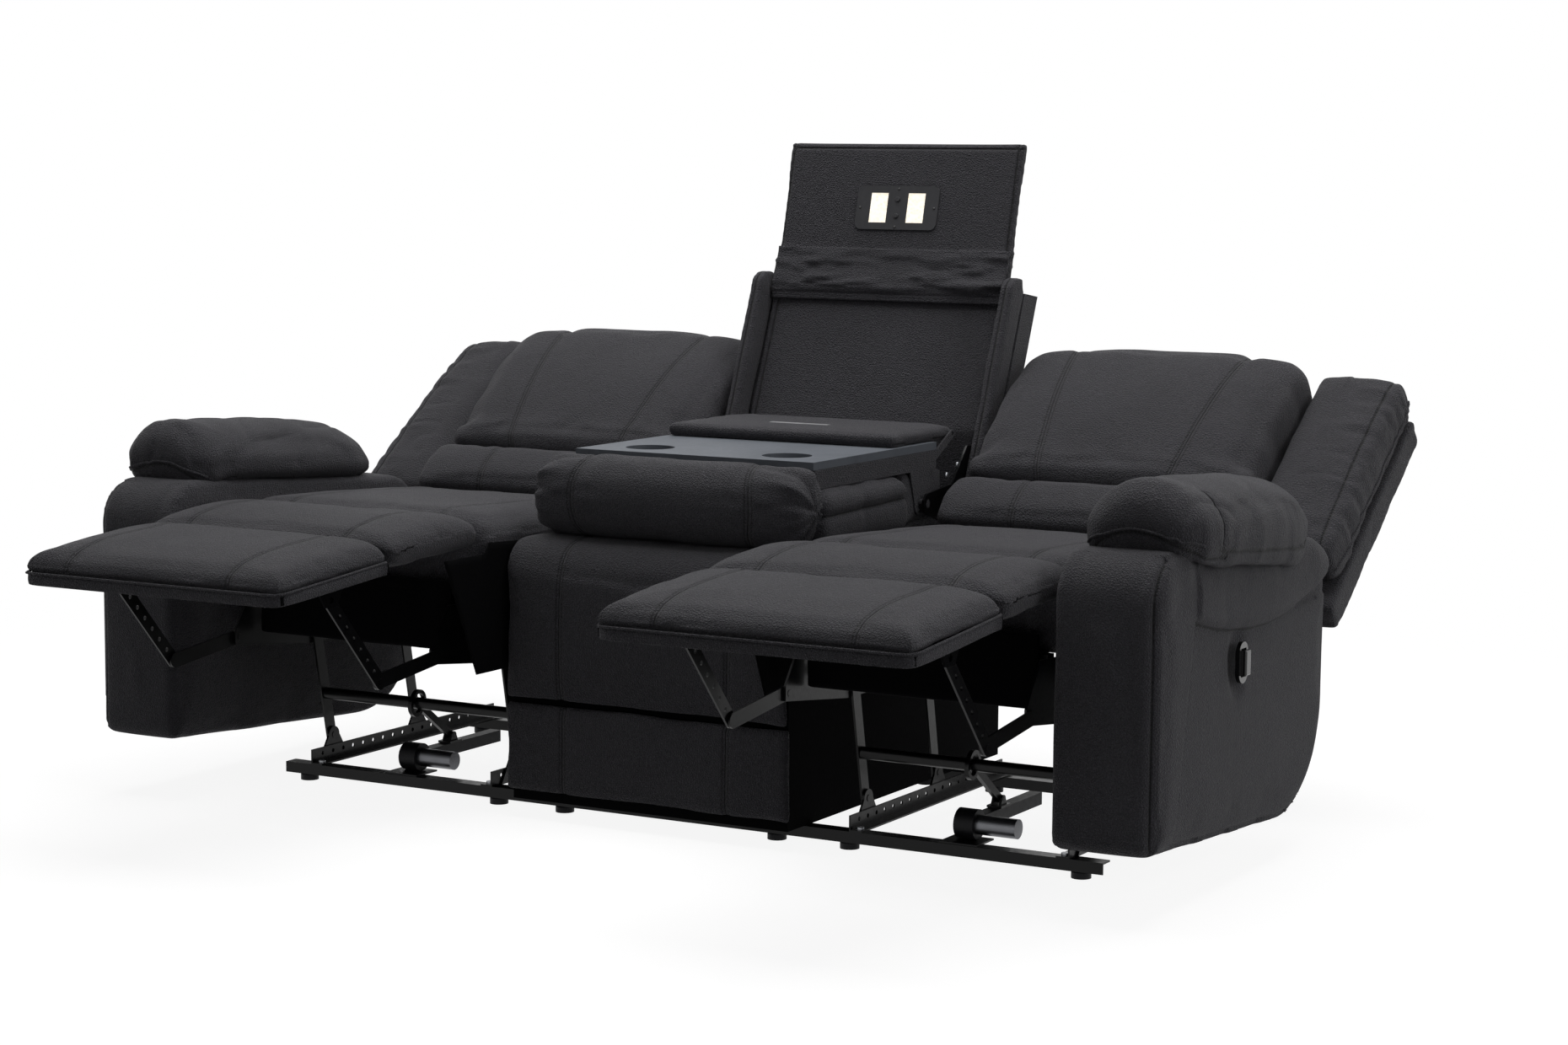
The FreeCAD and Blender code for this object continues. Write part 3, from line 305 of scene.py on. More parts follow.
def makeRoom():
    look = roomLook
    world = bpy.data.worlds.new("studio")
    bpy.context.scene.world = world
    world.use_nodes = True
    tree = world.node_tree
    back = tree.nodes["Background"]
    strength = tree.nodes.new("ShaderNodeMapRange")
    strength.inputs["To Min"].default_value = look["ambient"]
    tree.links.new(seenDirectly(tree), strength.inputs["Value"])
    tree.links.new(strength.outputs[0], back.inputs["Strength"])
    back.inputs["Color"].default_value = (1.0, 1.0, 1.0, 1.0)

    half = look["floorHalf"]
    mesh = bpy.data.meshes.new("floor")
    corners = [(-half, -half, 0), (half, -half, 0), (half, half, 0), (-half, half, 0)]
    mesh.from_pydata(corners, [], [(0, 1, 2, 3)])
    floor = bpy.data.objects.new("floor", mesh)
    floor.location.z = -0.0005
    bpy.context.scene.collection.objects.link(floor)
    made = Finish("paleFloor")
    tree = made.tree
    speckle = made.noise(6.0, 4.0)
    colour = made.blend((speckle * 0.5).held(), (0.23, 0.23, 0.23, 1.0), (0.27, 0.27, 0.27, 1.0))
    matt = made.node("ShaderNodeBsdfDiffuse", {}, {"Color": colour})
    seen = Signal(made, seenDirectly(tree))
    glow = made.node("ShaderNodeEmission", {}, {"Strength": seen * look["floorGlow"]})
    both = made.node("ShaderNodeAddShader", {}, {0: matt, 1: glow})
    white = made.node("ShaderNodeEmission", {}, {"Strength": seen})
    spread = {"Vector": made.place((0.3, 0.36, 1.0))}
    ball = made.node("ShaderNodeTexGradient", {"gradient_type": "SPHERICAL"}, spread)
    near = (ball * 2.6).held()
    mixed = made.node("ShaderNodeMixShader", {}, {0: near, 1: white, 2: both})
    output = tree.nodes.new("ShaderNodeOutputMaterial")
    tree.links.new(mixed.socket, output.inputs["Surface"])
    mesh.materials.append(made.material)

    lamp("overhead", (0.0, 0.4, 3.6), (0.0, 0.1, 0.4), (4.2, 2.6), 108.0)
    lamp("sideSoftbox", (4.2, -0.9, 1.5), (0.3, 0.0, 0.5), (1.8, 2.2), 30.0)
    lamp("frontFill", (-1.6, -4.2, 1.9), (0.0, 0.0, 0.5), (3.0, 2.0), 5.0)
    bpy.context.scene.view_settings.view_transform = "Standard"


aimCamera()
makeRoom()
print("camera, room and lamps set")

# making soft pieces


def alongFrom(values, low, high):
    # smooth step from nought at low to one at high
    share = np.clip((values - low) / (high - low), 0.0, 1.0)
    return share * share * (3 - 2 * share)


def unevenness(points, size, seed):
    # smooth pseudo-random field between -1 and 1, the same on every run
    grid = np.asarray(points, float) / size + seed * 7.31
    base = np.floor(grid).astype(np.int64)
    part = grid - base
    ease = part * part * (3 - 2 * part)
    total = np.zeros(len(grid))
    for corner in product((0, 1), repeat=3):
        cell = base + np.array(corner)
        mixed = cell[:, 0] * 73856093 ^ cell[:, 1] * 19349663 ^ cell[:, 2] * 83492791 ^ seed * 2654435
        mixed = (mixed ^ (mixed >> 13)) * 1274126177
        value = ((mixed ^ (mixed >> 16)) & 65535) / 65535.0
        weight = np.prod(np.where(np.array(corner) == 1, ease, 1 - ease), axis=1)
        total += value * weight
    return total * 2 - 1


def solidsOf(node):
    # the separate closed solids of a CAD node as welded points and faces
    made = bmesh.new()
    made.from_mesh(frame["nodes"][node].data)
    bmesh.ops.remove_doubles(made, verts=made.verts, dist=1e-5)
    made.verts.ensure_lookup_table()
    left = set(made.verts)
    found = []
    while left:
        start = left.pop()
        island, front = {start}, [start]
        while front:
            vertex = front.pop()
            for edge in vertex.link_edges:
                other = edge.other_vert(vertex)
                if other in left:
                    left.discard(other)
                    island.add(other)
                    front.append(other)
        order = sorted(island, key=lambda vertex: vertex.index)
        number = {vertex: place for place, vertex in enumerate(order)}
        faces = [[number[v] for v in face.verts] for face in made.faces if face.verts[0] in island]
        found.append(([tuple(vertex.co) for vertex in order], faces))
    made.free()
    return found


def newPiece(name, points, faces, finish):
    mesh = bpy.data.meshes.new(name)
    mesh.from_pydata([tuple(point) for point in points], [], faces)
    mesh.validate()
    piece = bpy.data.objects.new(name, mesh)
    bpy.context.scene.collection.objects.link(piece)
    mesh.materials.append(finishes[finish])
    return piece


def applied(piece):
    # leaves the result of the piece's modifiers as its plain mesh
    graph = bpy.context.evaluated_depsgraph_get()
    graph.update()
    mesh = bpy.data.meshes.new_from_object(piece.evaluated_get(graph))
    material = piece.data.materials[0]
    piece.modifiers.clear()
    piece.data = mesh
    if not mesh.materials:
        mesh.materials.append(material)
    return piece


def remeshed(piece, voxel):
    change = piece.modifiers.new("remesh", "REMESH")
    change.mode = "VOXEL"
    change.voxel_size = voxel / 1000.0
    change.adaptivity = 0.0
    return applied(piece)


def divided(piece, levels=1):
    change = piece.modifiers.new("divide", "SUBSURF")
    change.levels = change.render_levels = levels
    return applied(piece)


def vectorsOf(piece, source, key):
    flat = np.empty(len(piece.data.vertices) * 3, np.float32)
    source.foreach_get(key, flat)
    return flat.reshape(-1, 3).astype(float)


def placesOf(piece):
    places = vectorsOf(piece, piece.data.vertices, "co") * 1000.0
    places[:, 1] += railShift
    return places


def setPlaces(piece, places):
    moved = np.array(places)
    moved[:, 1] -= railShift
    piece.data.vertices.foreach_set("co", (moved / 1000.0).astype(np.float32).ravel())
    piece.data.update()


def normalsOf(piece):
    return vectorsOf(piece, piece.data.vertex_normals, "vector")


def relax(piece, rounds, share=0.5):
    # evens out the surface, which rounds its edges
    mesh = piece.data
    pairs = np.empty(len(mesh.edges) * 2, np.int32)
    mesh.edges.foreach_get("vertices", pairs)
    pairs = pairs.reshape(-1, 2)
    places = placesOf(piece)
    count = np.bincount(pairs.ravel(), minlength=len(places))[:, None]
    for _ in range(rounds):
        total = np.zeros_like(places)
        for axis in range(3):
            total[:, axis] += np.bincount(pairs[:, 0], places[pairs[:, 1], axis], len(places))
            total[:, axis] += np.bincount(pairs[:, 1], places[pairs[:, 0], axis], len(places))
        places += share * (total / count - places)
    setPlaces(piece, places)


simulated = []


clothLook = {
    "shrink": 0.35, "quickRise": 0.8, "frames": 20, "quality": 4, "mass": 0.35, "pressure": 4.0,
    "stretch": 18, "shear": 8, "bending": 2.0,
}


def inflate(piece, swell, slack=0.03):
    # blows the cover up like a stuffed cushion; no point moves out by more than swell
    look = clothLook
    start = placesOf(piece) - normalsOf(piece) * swell * look["shrink"]
    setPlaces(piece, start)
    cloth = piece.modifiers.new("cloth", "CLOTH")
    settings = cloth.settings
    settings.quality = look["quality"]
    settings.mass = look["mass"]
    settings.tension_stiffness = settings.compression_stiffness = look["stretch"]
    settings.shear_stiffness = look["shear"]
    settings.bending_stiffness = look["bending"]
    settings.use_pressure = True
    settings.uniform_pressure_force = look["pressure"]
    settings.shrink_min = -slack
    settings.effector_weights.gravity = 0.0
    cloth.collision_settings.use_collision = False
    cloth.collision_settings.use_self_collision = False
    cloth.point_cache.frame_start = 1
    cloth.point_cache.frame_end = look["frames"]
    for step in range(1, look["frames"] + 1):
        bpy.context.scene.frame_set(step)
    applied(piece)
    bpy.context.scene.frame_set(1)
    moved = placesOf(piece) - start
    length = np.linalg.norm(moved, axis=1, keepdims=True) + 1e-9
    setPlaces(piece, start + moved / length * swell * np.tanh(length / swell))
    simulated.append(piece.name)


def filledOut(piece, solid, share=0.75, ease=1.5):
    # brings what has drawn in back towards the CAD solid, so the piece keeps its room
    tree = BVHTree.FromPolygons([Vector(point) for point in solid[0]], solid[1])
    places = placesOf(piece)
    for index, place in enumerate(places):
        spot = Vector((place[0], place[1] - railShift, place[2])) / 1000.0
        near, normal, _, away = tree.find_nearest(spot)
        if away * 1000 > ease and (spot - near).dot(normal) < 0:
            step = (near - spot) * (1 - ease / (away * 1000)) * share * 1000
            places[index] = place + np.array(step)
    setPlaces(piece, places)


class Cover:
    # the cover of one soft piece: side is -1 on the left, where x counts outward too
    def __init__(self, piece, side=1, seed=1):
        self.piece = piece
        self.side = side
        self.seed = seed
        self.places = placesOf(piece)
        self.normals = normalsOf(piece)
        self.at = self.places * (side, 1, 1)
        self.out = self.normals * (side, 1, 1)
        self.moved = np.zeros(len(self.places))
        self.shifted = np.zeros_like(self.places)
        self.across = np.full(len(self.places), 1000.0)
        self.along = np.zeros(len(self.places))
        self.single = np.full(len(self.places), 1000.0)

    def push(self, amount):
        self.moved += amount

    def stitch(self, across, along, where=True, depth=1.6, width=5.0, rows=True):
        here = np.where(where, across, 1000.0)
        self.push(-depth * np.exp(-(here / width) ** 2))
        if rows:
            nearer = np.abs(here) < np.abs(self.across)
            self.across = np.where(nearer, here, self.across)
            self.along = np.where(nearer, along, self.along)
        else:
            self.single = np.where(np.abs(here) < np.abs(self.single), here, self.single)

    def seamPair(self, x, half, along, where, depth, width):
        # two rows of stitches, one on either side of a cushion's middle
        for hand in (-1, 1):
            self.stitch(x - hand * half, along, where, depth, width)

    def gathers(self, along, away, size, reach, depth, share=None):
        # short folds that run away from a seam
        self.seed += 1
        points = np.stack([along / size, away / (size * 3.2), np.full(len(along), 0.5)], axis=1)
        folds = unevenness(points, 1.0, self.seed)
        folds = np.sign(folds) * np.abs(folds) ** 1.3
        amount = depth * folds * np.exp(-np.maximum(away, 0) / reach)
        self.push(amount if share is None else amount * share)

    def creases(self, direction, size, depth, share=None):
        # long soft folds that run along a direction
        self.seed += 1
        direction = np.asarray(direction, float)
        direction = direction / np.linalg.norm(direction)
        along = self.at @ direction
        points = (self.at - 0.82 * along[:, None] * direction) / size
        points = points + 0.35 * unevenness(self.at, size * 2.0, self.seed + 40)[:, None]
        folds = 1 - 2 * np.abs(unevenness(points, 1.0, self.seed))
        amount = -depth * np.clip(folds, 0, 1) ** 3
        self.push(amount if share is None else amount * share)

    def lumps(self, size, depth):
        self.seed += 1
        self.push(depth * unevenness(self.at, size, self.seed))

    def finish(self):
        moved = self.places + self.normals * self.moved[:, None] + self.shifted * (self.side, 1, 1)
        setPlaces(self.piece, moved)
        mesh = self.piece.data
        marks = (("seamAcross", self.across), ("seamAlong", self.along), ("seamSingle", self.single))
        for name, values in marks:
            layer = mesh.attributes.new(name, "FLOAT", "POINT")
            layer.data.foreach_set("value", values.astype(np.float32))
        mesh.shade_smooth()
        return self.piece


def cushion(name, solid, voxel, swell, rounds, side, seed, levels=1, slack=0.03, fit=0.75):
    # a cover blown up over a CAD solid; fit is how far it is brought back towards that solid
    piece = newPiece(name, *solid, "stitched")
    remeshed(piece, voxel)
    relax(piece, rounds)
    inflate(piece, swell, slack)
    filledOut(piece, solid, fit)
    relax(piece, 1)
    divided(piece, levels)
    return Cover(piece, side, seed)


def mounted(piece, body):
    # a piece that isn't padded, shaded smooth and put on the body it rides on
    piece.data.shade_smooth()
    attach(piece, body)
    return piece


def settle(cover, body, nodes):
    # hides the CAD nodes the cover stands in for and puts it on what it rides on; a blended cover has no
    # body here
    piece = cover.finish()
    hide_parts(*nodes)
    if body:
        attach(piece, body)
    return piece


def closedSheet(first, second, lines, places):
    # points and faces of a thin closed sheet between two faces of lines by places points
    half = len(first)
    faces = []
    for line in range(lines - 1):
        for place in range(places - 1):
            a = line * places + place
            b = a + places
            faces.append((a, a + 1, b + 1, b))
            faces.append((half + a, half + b, half + b + 1, half + a + 1))
    last = (lines - 1) * places
    rim = list(range(places))
    rim += [line * places + places - 1 for line in range(1, lines)]
    rim += [last + place for place in range(places - 2, -1, -1)]
    rim += [line * places for line in range(lines - 2, 0, -1)]
    for number, a in enumerate(rim):
        b = rim[(number + 1) % len(rim)]
        faces.append((a, half + a, half + b, b))
    return np.concatenate([first, second]), faces


def tube(name, path, radius, body, finish="charcoal_leather", sides=8):
    # a round bar or welt along a path in mm
    points = [Vector(point) for point in path]
    verts, faces = [], []
    count = len(points)
    normal = None
    for place, point in enumerate(points):
        before = points[place - 1] if place else point
        after = points[place + 1] if place < count - 1 else point
        ahead = (after - before).normalized()
        if normal is None:
            normal = ahead.orthogonal().normalized()
        normal = (normal - ahead * normal.dot(ahead)).normalized()
        other = ahead.cross(normal)
        for step in range(sides):
            angle = 2 * math.pi * step / sides
            spot = point + (normal * math.cos(angle) + other * math.sin(angle)) * radius
            verts.append((spot.x / 1000, (spot.y - railShift) / 1000, spot.z / 1000))
    for ring in range(count - 1):
        for step in range(sides):
            first, second = ring * sides + step, ring * sides + (step + 1) % sides
            faces.append((first, second, second + sides, first + sides))
    faces.append(tuple(range(sides))[::-1])
    faces.append(tuple(range((count - 1) * sides, count * sides)))
    piece = newPiece(name, verts, faces, finish)
    return mounted(piece, body)


def snapped(piece, path, lift=0.0):
    # the path's points moved to the nearest place on a piece's surface
    graph = bpy.context.evaluated_depsgraph_get()
    tree = BVHTree.FromObject(piece, graph)
    found = []
    for x, y, z in path:
        near, normal, _, _ = tree.find_nearest(Vector((x, y - railShift, z)) / 1000.0)
        near = near + normal * lift / 1000.0
        found.append((near.x * 1000, near.y * 1000 + railShift, near.z * 1000))
    return found


# end seats: frames of reference shared by their cushions

seatLook = {"middle": 580.0, "seamHalf": 172.0, "seatIn": 298.0, "seatOut": 868.0}
backLook = {"pivot": (490.0, 480.0), "lean": 54.5, "middle": 583.0, "lowHalf": 126.0, "highHalf": 172.0}
leanTurn = math.radians(backLook["lean"])
upBack = np.array([math.sin(leanTurn), math.cos(leanTurn)])
behindBack = np.array([math.cos(leanTurn), -math.sin(leanTurn)])


def onBack(cover):
    # how far up and behind the reclined back's pivot each point is
    away = cover.at[:, 1:] - np.array(backLook["pivot"])
    return away @ upBack, away @ behindBack


def makeSeat(side, name):
    look = seatLook
    pad, apron = sorted(solidsOf("seat_cushion_" + name), key=lambda solid: -len(solid[0]))
    cover = cushion("seat_cushion_cover_" + name, pad, 12.0, 9.0, 3, side, 11)
    x, y, z = cover.at.T
    top = cover.out[:, 2] > 0.2
    cover.seamPair(x - look["middle"], look["seamHalf"], y, top, 1.8, 6.0)
    ends = np.minimum(x - look["seatIn"], look["seatOut"] - x)
    cover.gathers(y, ends, 55.0, 40.0, 3.0, top)
    cover.gathers(x, y + 145.0, 60.0, 45.0, 3.0, top)
    cover.shifted[:, 2] += np.where(top, 5.0 * alongFrom(ends, 0.0, 110.0) - 8.0 * np.exp(-ends / 18.0), 0)
    cover.lumps(90.0, 1.6)
    settle(cover, "seat_" + name, ["seat_cushion_" + name])

    piece = newPiece("seat_apron_" + name, *apron, "black_lining")
    remeshed(piece, 6.0)
    relax(piece, 2)
    sheet = Cover(piece, side, 5)
    sheet.gathers(sheet.at[:, 0], 340 - sheet.at[:, 2] + 60, 38.0, 200.0, 2.2)
    mounted(sheet.finish(), "seat_" + name)


liningLook = {
    "inner": {"x": 296.2, "ends": (-262.0, 392.0), "heights": (268.0, 500.0)},
    "outer": {"x": 870.5, "ends": (-138.0, 392.0), "heights": (268.0, 470.0)},
    "columns": 54, "rows": 18, "thick": 1.2, "ripple": 1.1, "rippleSize": 36.0,
    "seatFront": -138.0, "seatFall": 0.055, "underChaise": 20.0, "slant": 0.45, "slantReach": 220.0,
}


def makeLinings(side, name):
    # black lining panels that close the seat's two sides and hang under it
    look = liningLook
    for place in ("inner", "outer"):
        panel = look[place]
        front, low = panel["ends"][0], panel["heights"][0]
        grid = []
        for y in np.linspace(*panel["ends"], look["columns"]):
            top = panel["heights"][1] - look["seatFall"] * max(0.0, y - look["seatFront"])
            top -= look["underChaise"] if y < look["seatFront"] else 0.0
            ahead = max(0.0, 1 - (y - front) / look["slantReach"]) * look["slant"]
            for z in np.linspace(low, top, look["rows"]):
                grid.append((panel["x"], y + ahead * (top - z), z))
        grid = np.array(grid)
        ripple = look["ripple"] * unevenness(grid * (0, 1, 0.3), look["rippleSize"], 7 + side)
        faced = []
        for hand in (-0.5, 0.5):
            sheet = grid.copy()
            sheet[:, 0] += ripple + hand * look["thick"]
            faced.append((sheet * (side, 1, 1) - (0, railShift, 0)) / 1000.0)
        verts, faces = closedSheet(*faced, look["columns"], look["rows"])
        piece = newPiece("seat_lining_" + place + "_" + name, verts, faces, "black_lining")
        mounted(piece, "seat_" + name)


springLook = {
    "middle": 578.0, "apart": 172.0, "turns": 22, "steps": 10, "radius": 9.0, "wire": 1.5,
    "start": (-90.0, 318.0), "length": 128.0, "fall": 6.0,
    "frontHook": ((-112.0, 330.0), (-100.0, 322.0)), "rearHook": ((52.0, 312.0), (66.0, 318.0)),
}


def makeSprings(side, name):
    # tension springs of the footrest linkage, between the side plates
    look = springLook
    for hand, place in ((-1, "in"), (1, "out")):
        centre = side * look["middle"] + hand * look["apart"]
        path = [(centre, y, z) for y, z in look["frontHook"]]
        count = look["turns"] * look["steps"]
        for step in range(count + 1):
            part = step / count
            angle = 2 * math.pi * look["turns"] * part
            y = look["start"][0] + look["length"] * part
            z = look["start"][1] - look["fall"] * part + look["radius"] * math.sin(angle)
            path.append((centre + look["radius"] * math.cos(angle), y, z))
        path += [(centre, y, z) for y, z in look["rearHook"]]
        title = "footrest_spring_%s_%s" % (place, name)
        tube(title, path, look["wire"], "seat_" + name, "black_steel", sides=6)


def makeChaise(side, name):
    look = seatLook
    cover = cushion("chaise_cover_" + name, solidsOf("chaise_pad_" + name)[0], 8.0, 6.0, 2, side, 21)
    x, y, z = cover.at.T
    top = cover.out[:, 2] > 0.1
    cover.seamPair(x - look["middle"], look["seamHalf"], y, top, 1.8, 6.0)
    ends = np.minimum(x - 300.0, 851.0 - x)
    cover.gathers(y, ends, 48.0, 42.0, 3.2, top)
    inner = top * alongFrom(ends, 4.0, 50.0)
    cover.gathers(x, y + 408.0, 52.0, 38.0, 3.4, inner)
    cover.gathers(x, -140.0 - y, 60.0, 35.0, 2.6, inner)
    cover.creases((1, 0.25, 0), 120.0, 1.6, top)
    arch = np.clip(1 - ((y + 274.0) / 134.0) ** 2, 0, 1)
    rise = 9.0 * arch * alongFrom(ends, 0.0, 90.0) - 9.0 * np.exp(-ends / 16.0)
    cover.shifted[:, 2] += np.where(top, rise, 0)
    cover.lumps(80.0, 1.4)
    piece = settle(cover, None, ["chaise_pad_" + name])
    middle = side * look["middle"] / 1000
    ends = [(middle, (y - railShift) / 1000, 0.5) for y in (-142.0, -404.0)]
    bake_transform(piece)


def makeFootrest(side, name):
    look = seatLook
    cover = cushion("footrest_cover_" + name, solidsOf("ottoman_pad_" + name)[0], 7.0, 5.0, 2, side, 31)
    x, y, z = cover.at.T
    top = cover.out[:, 2] > 0.15
    cover.seamPair(x - look["middle"], look["seamHalf"], y, cover.out[:, 2] > -0.3, 1.8, 5.5)
    ends = np.minimum(x - 300.0, 851.0 - x)
    cover.gathers(y, ends, 44.0, 34.0, 3.0, top)
    cover.gathers(x, -412.0 - y, 55.0, 40.0, 3.0, top)
    edge = np.minimum(ends, y + 712.0)
    high = alongFrom(z - 455.0 - (y + 700.0) * 0.0787, 18.0, 50.0)
    cover.shifted[:, 2] += high * (6.0 * alongFrom(edge, 20.0, 120.0) - 15.0 * np.exp(-edge / 16.0))
    cover.gathers(x, y + 712.0, 46.0, 30.0, 3.2, top)
    corner = np.hypot(ends, y + 712.0)
    cover.gathers(np.arctan2(y + 712.0, ends) * 60.0, corner, 16.0, 45.0, 3.2)
    cover.lumps(70.0, 1.3)
    settle(cover, "ottoman_" + name, ["ottoman_pad_" + name])

    # leather wrapped round the board's edge, under the welt
    outline = [(303.0, -420.0), (301.0, -560.0), (301.5, -690.0), (310.0, -708.0)]
    outline += [(x, -711.0) for x in np.linspace(330.0, 821.0, 26)]
    outline += [(841.0, -708.0), (849.5, -690.0), (850.0, -560.0), (848.0, -420.0)]
    rise = math.tan(math.radians(4.5))
    rows = [(0.5, -1.5), (2.5, -3.0), (3.4, 3.0), (3.6, 10.0)]
    rows += [(2.6, 15.5), (0.2, 17.5), (-6.0, 17.0), (-6.0, -1.5)]
    middle = np.array((575.5, -560.0))
    verts, faces = [], []
    for place, (px, py) in enumerate(outline):
        out = np.array((px, py)) - middle
        nearFront = abs(out[1]) > 120 and abs(out[0]) < 235
        out = out / (np.abs(out).max() if nearFront else np.linalg.norm(out))
        out = np.array((0.0, -1.0)) if abs(px - 575.5) < 250 and py < -700 else out
        for away, high in rows:
            puff = 1.2 * math.sin(place * 1.7) * (1 if 0 <= high <= 12 else 0)
            spot = np.array((px, py)) + out * (away + puff - 1.0)
            height = 455.0 + (spot[1] + 700.0) * rise + high
            verts.append((side * spot[0] / 1000, (spot[1] - railShift) / 1000, height / 1000))
    deep = len(rows)
    for place in range(len(outline) - 1):
        for step in range(deep):
            first, second = place * deep + step, place * deep + (step + 1) % deep
            faces.append((first, second, second + deep, first + deep))
    faces.append(tuple(range(deep)))
    faces.append(tuple(range((len(outline) - 1) * deep, len(outline) * deep))[::-1])
    piece = newPiece("footrest_band_" + name, verts, faces, "charcoal_leather")
    divided(piece, 2)
    mounted(piece, "ottoman_" + name)
    welt = []
    for px, py in outline:
        welt.append((side * px, py - 2.5 if py < -700 else py, 455.0 + (py + 700.0) * rise + 18.5))
    tube("footrest_welt_" + name, welt, 2.4, "ottoman_" + name)


def makeBack(side, name):
    look = backLook
    parts = solidsOf("back_cushions_" + name)
    middle = lambda solid: abs(sum(point[0] for point in solid[0]) / len(solid[0]))
    wing = max(parts, key=middle)
    rest = sorted((part for part in parts if part is not wing), key=lambda part: max(v[2] for v in part[0]))
    lumbar, head = rest

    cover = cushion("lumbar_cover_" + name, lumbar, 10.0, 8.0, 3, side, 41)
    up, behind = onBack(cover)
    x = cover.at[:, 0]
    front = cover.out[:, 1:] @ behindBack < 0.2
    cover.seamPair(x - look["middle"], look["lowHalf"] + 2, up, front, 1.8, 6.0)
    ends = np.minimum(x - 298.0, 868.0 - x)
    cover.gathers(up, ends, 40.0, 38.0, 3.0, front)
    cover.gathers(x, 111.0 - up, 48.0, 24.0, 2.8, front)
    cover.lumps(80.0, 1.5)
    settle(cover, "back_" + name, [])

    cover = cushion("head_cover_" + name, head, 12.0, 12.0, 3, side, 51, fit=0.9)
    up, behind = onBack(cover)
    x = cover.at[:, 0]
    front = cover.out[:, 1:] @ behindBack < 0.35
    half = look["lowHalf"] + (look["highHalf"] - look["lowHalf"]) * np.clip((up - 105) / 370, 0, 1.1) ** 0.85
    cover.seamPair(x - look["middle"], half, up - behind * 0.6, front, 2.0, 7.0)
    ends = np.minimum(x - 298.0, 868.0 - x)
    cover.gathers(up, ends, 46.0, 36.0, 4.2)
    cover.gathers(x, up - 112.0, 46.0, 30.0, 3.4, front)
    cover.gathers(x, 512.0 - up, 70.0, 45.0, 2.4, front)
    drop = 16.0 * (1 - alongFrom(ends, 0.0, 190.0)) + 16.0 * np.exp(-np.maximum(ends, 0) / 24.0)
    drop = drop * alongFrom(up, 300.0, 500.0)
    cover.shifted[:, 1:] -= drop[:, None] * upBack
    low = 9.0 * np.exp(-np.maximum(ends, 0) / 30.0) * (1 - alongFrom(up, 112.0, 220.0))
    cover.shifted[:, 1:] += low[:, None] * upBack
    cover.lumps(110.0, 2.6)
    settle(cover, "back_" + name, [])

    cover = cushion("wing_cover_" + name, wing, 11.0, 9.0, 3, side, 61)
    up, behind = onBack(cover)
    x = cover.at[:, 0]
    front = cover.out[:, 1:] @ behindBack < 0.5
    edge = 1045.0 - x
    cover.gathers(up, edge, 19.0, 62.0, 6.5, front)
    cover.creases((1, 0, 0.1), 60.0, 2.4, front & (edge < 110))
    cover.gathers(up, x - 874.0, 60.0, 30.0, 2.4, front)
    cover.stitch(edge - 26.0, up, front, 2.4, 5.0, False)
    topRoll = 508.0 - up
    cover.gathers(x, topRoll, 24.0, 40.0, 3.0)
    drop = 18.0 * np.exp(-np.maximum(edge, 0) / 34.0) * alongFrom(up, 380.0, 500.0)
    cover.shifted[:, 1:] -= drop[:, None] * upBack
    cover.lumps(90.0, 1.8)
    piece = settle(cover, "back_" + name, ["back_cushions_" + name])
    path = []
    for step in np.linspace(20, 490, 48):
        y, z = np.array(look["pivot"]) + upBack * step + behindBack * 26.0
        path.append((side * 1043.0, y, z))
    tube("wing_welt_" + name, snapped(piece, path, 0.6), 2.6, "back_" + name)

    # leather stretched over the shell behind the cushions
    shell = sorted(solidsOf("back_shell_" + name), key=lambda part: -len(part[0]))
    for number, solid in enumerate(shell):
        piece = newPiece("back_shell_cover_%d_%s" % (number, name), *solid, "charcoal_leather")
        remeshed(piece, 6.0)
        relax(piece, 5)
        cover = Cover(piece, side, 65)
        cover.creases((1, 0, 0), 120.0, 1.8)
        cover.lumps(100.0, 1.2)
        piece = cover.finish()
        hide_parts(*(["back_shell_" + name] if number == 0 else []))
        mounted(piece, "back_" + name)


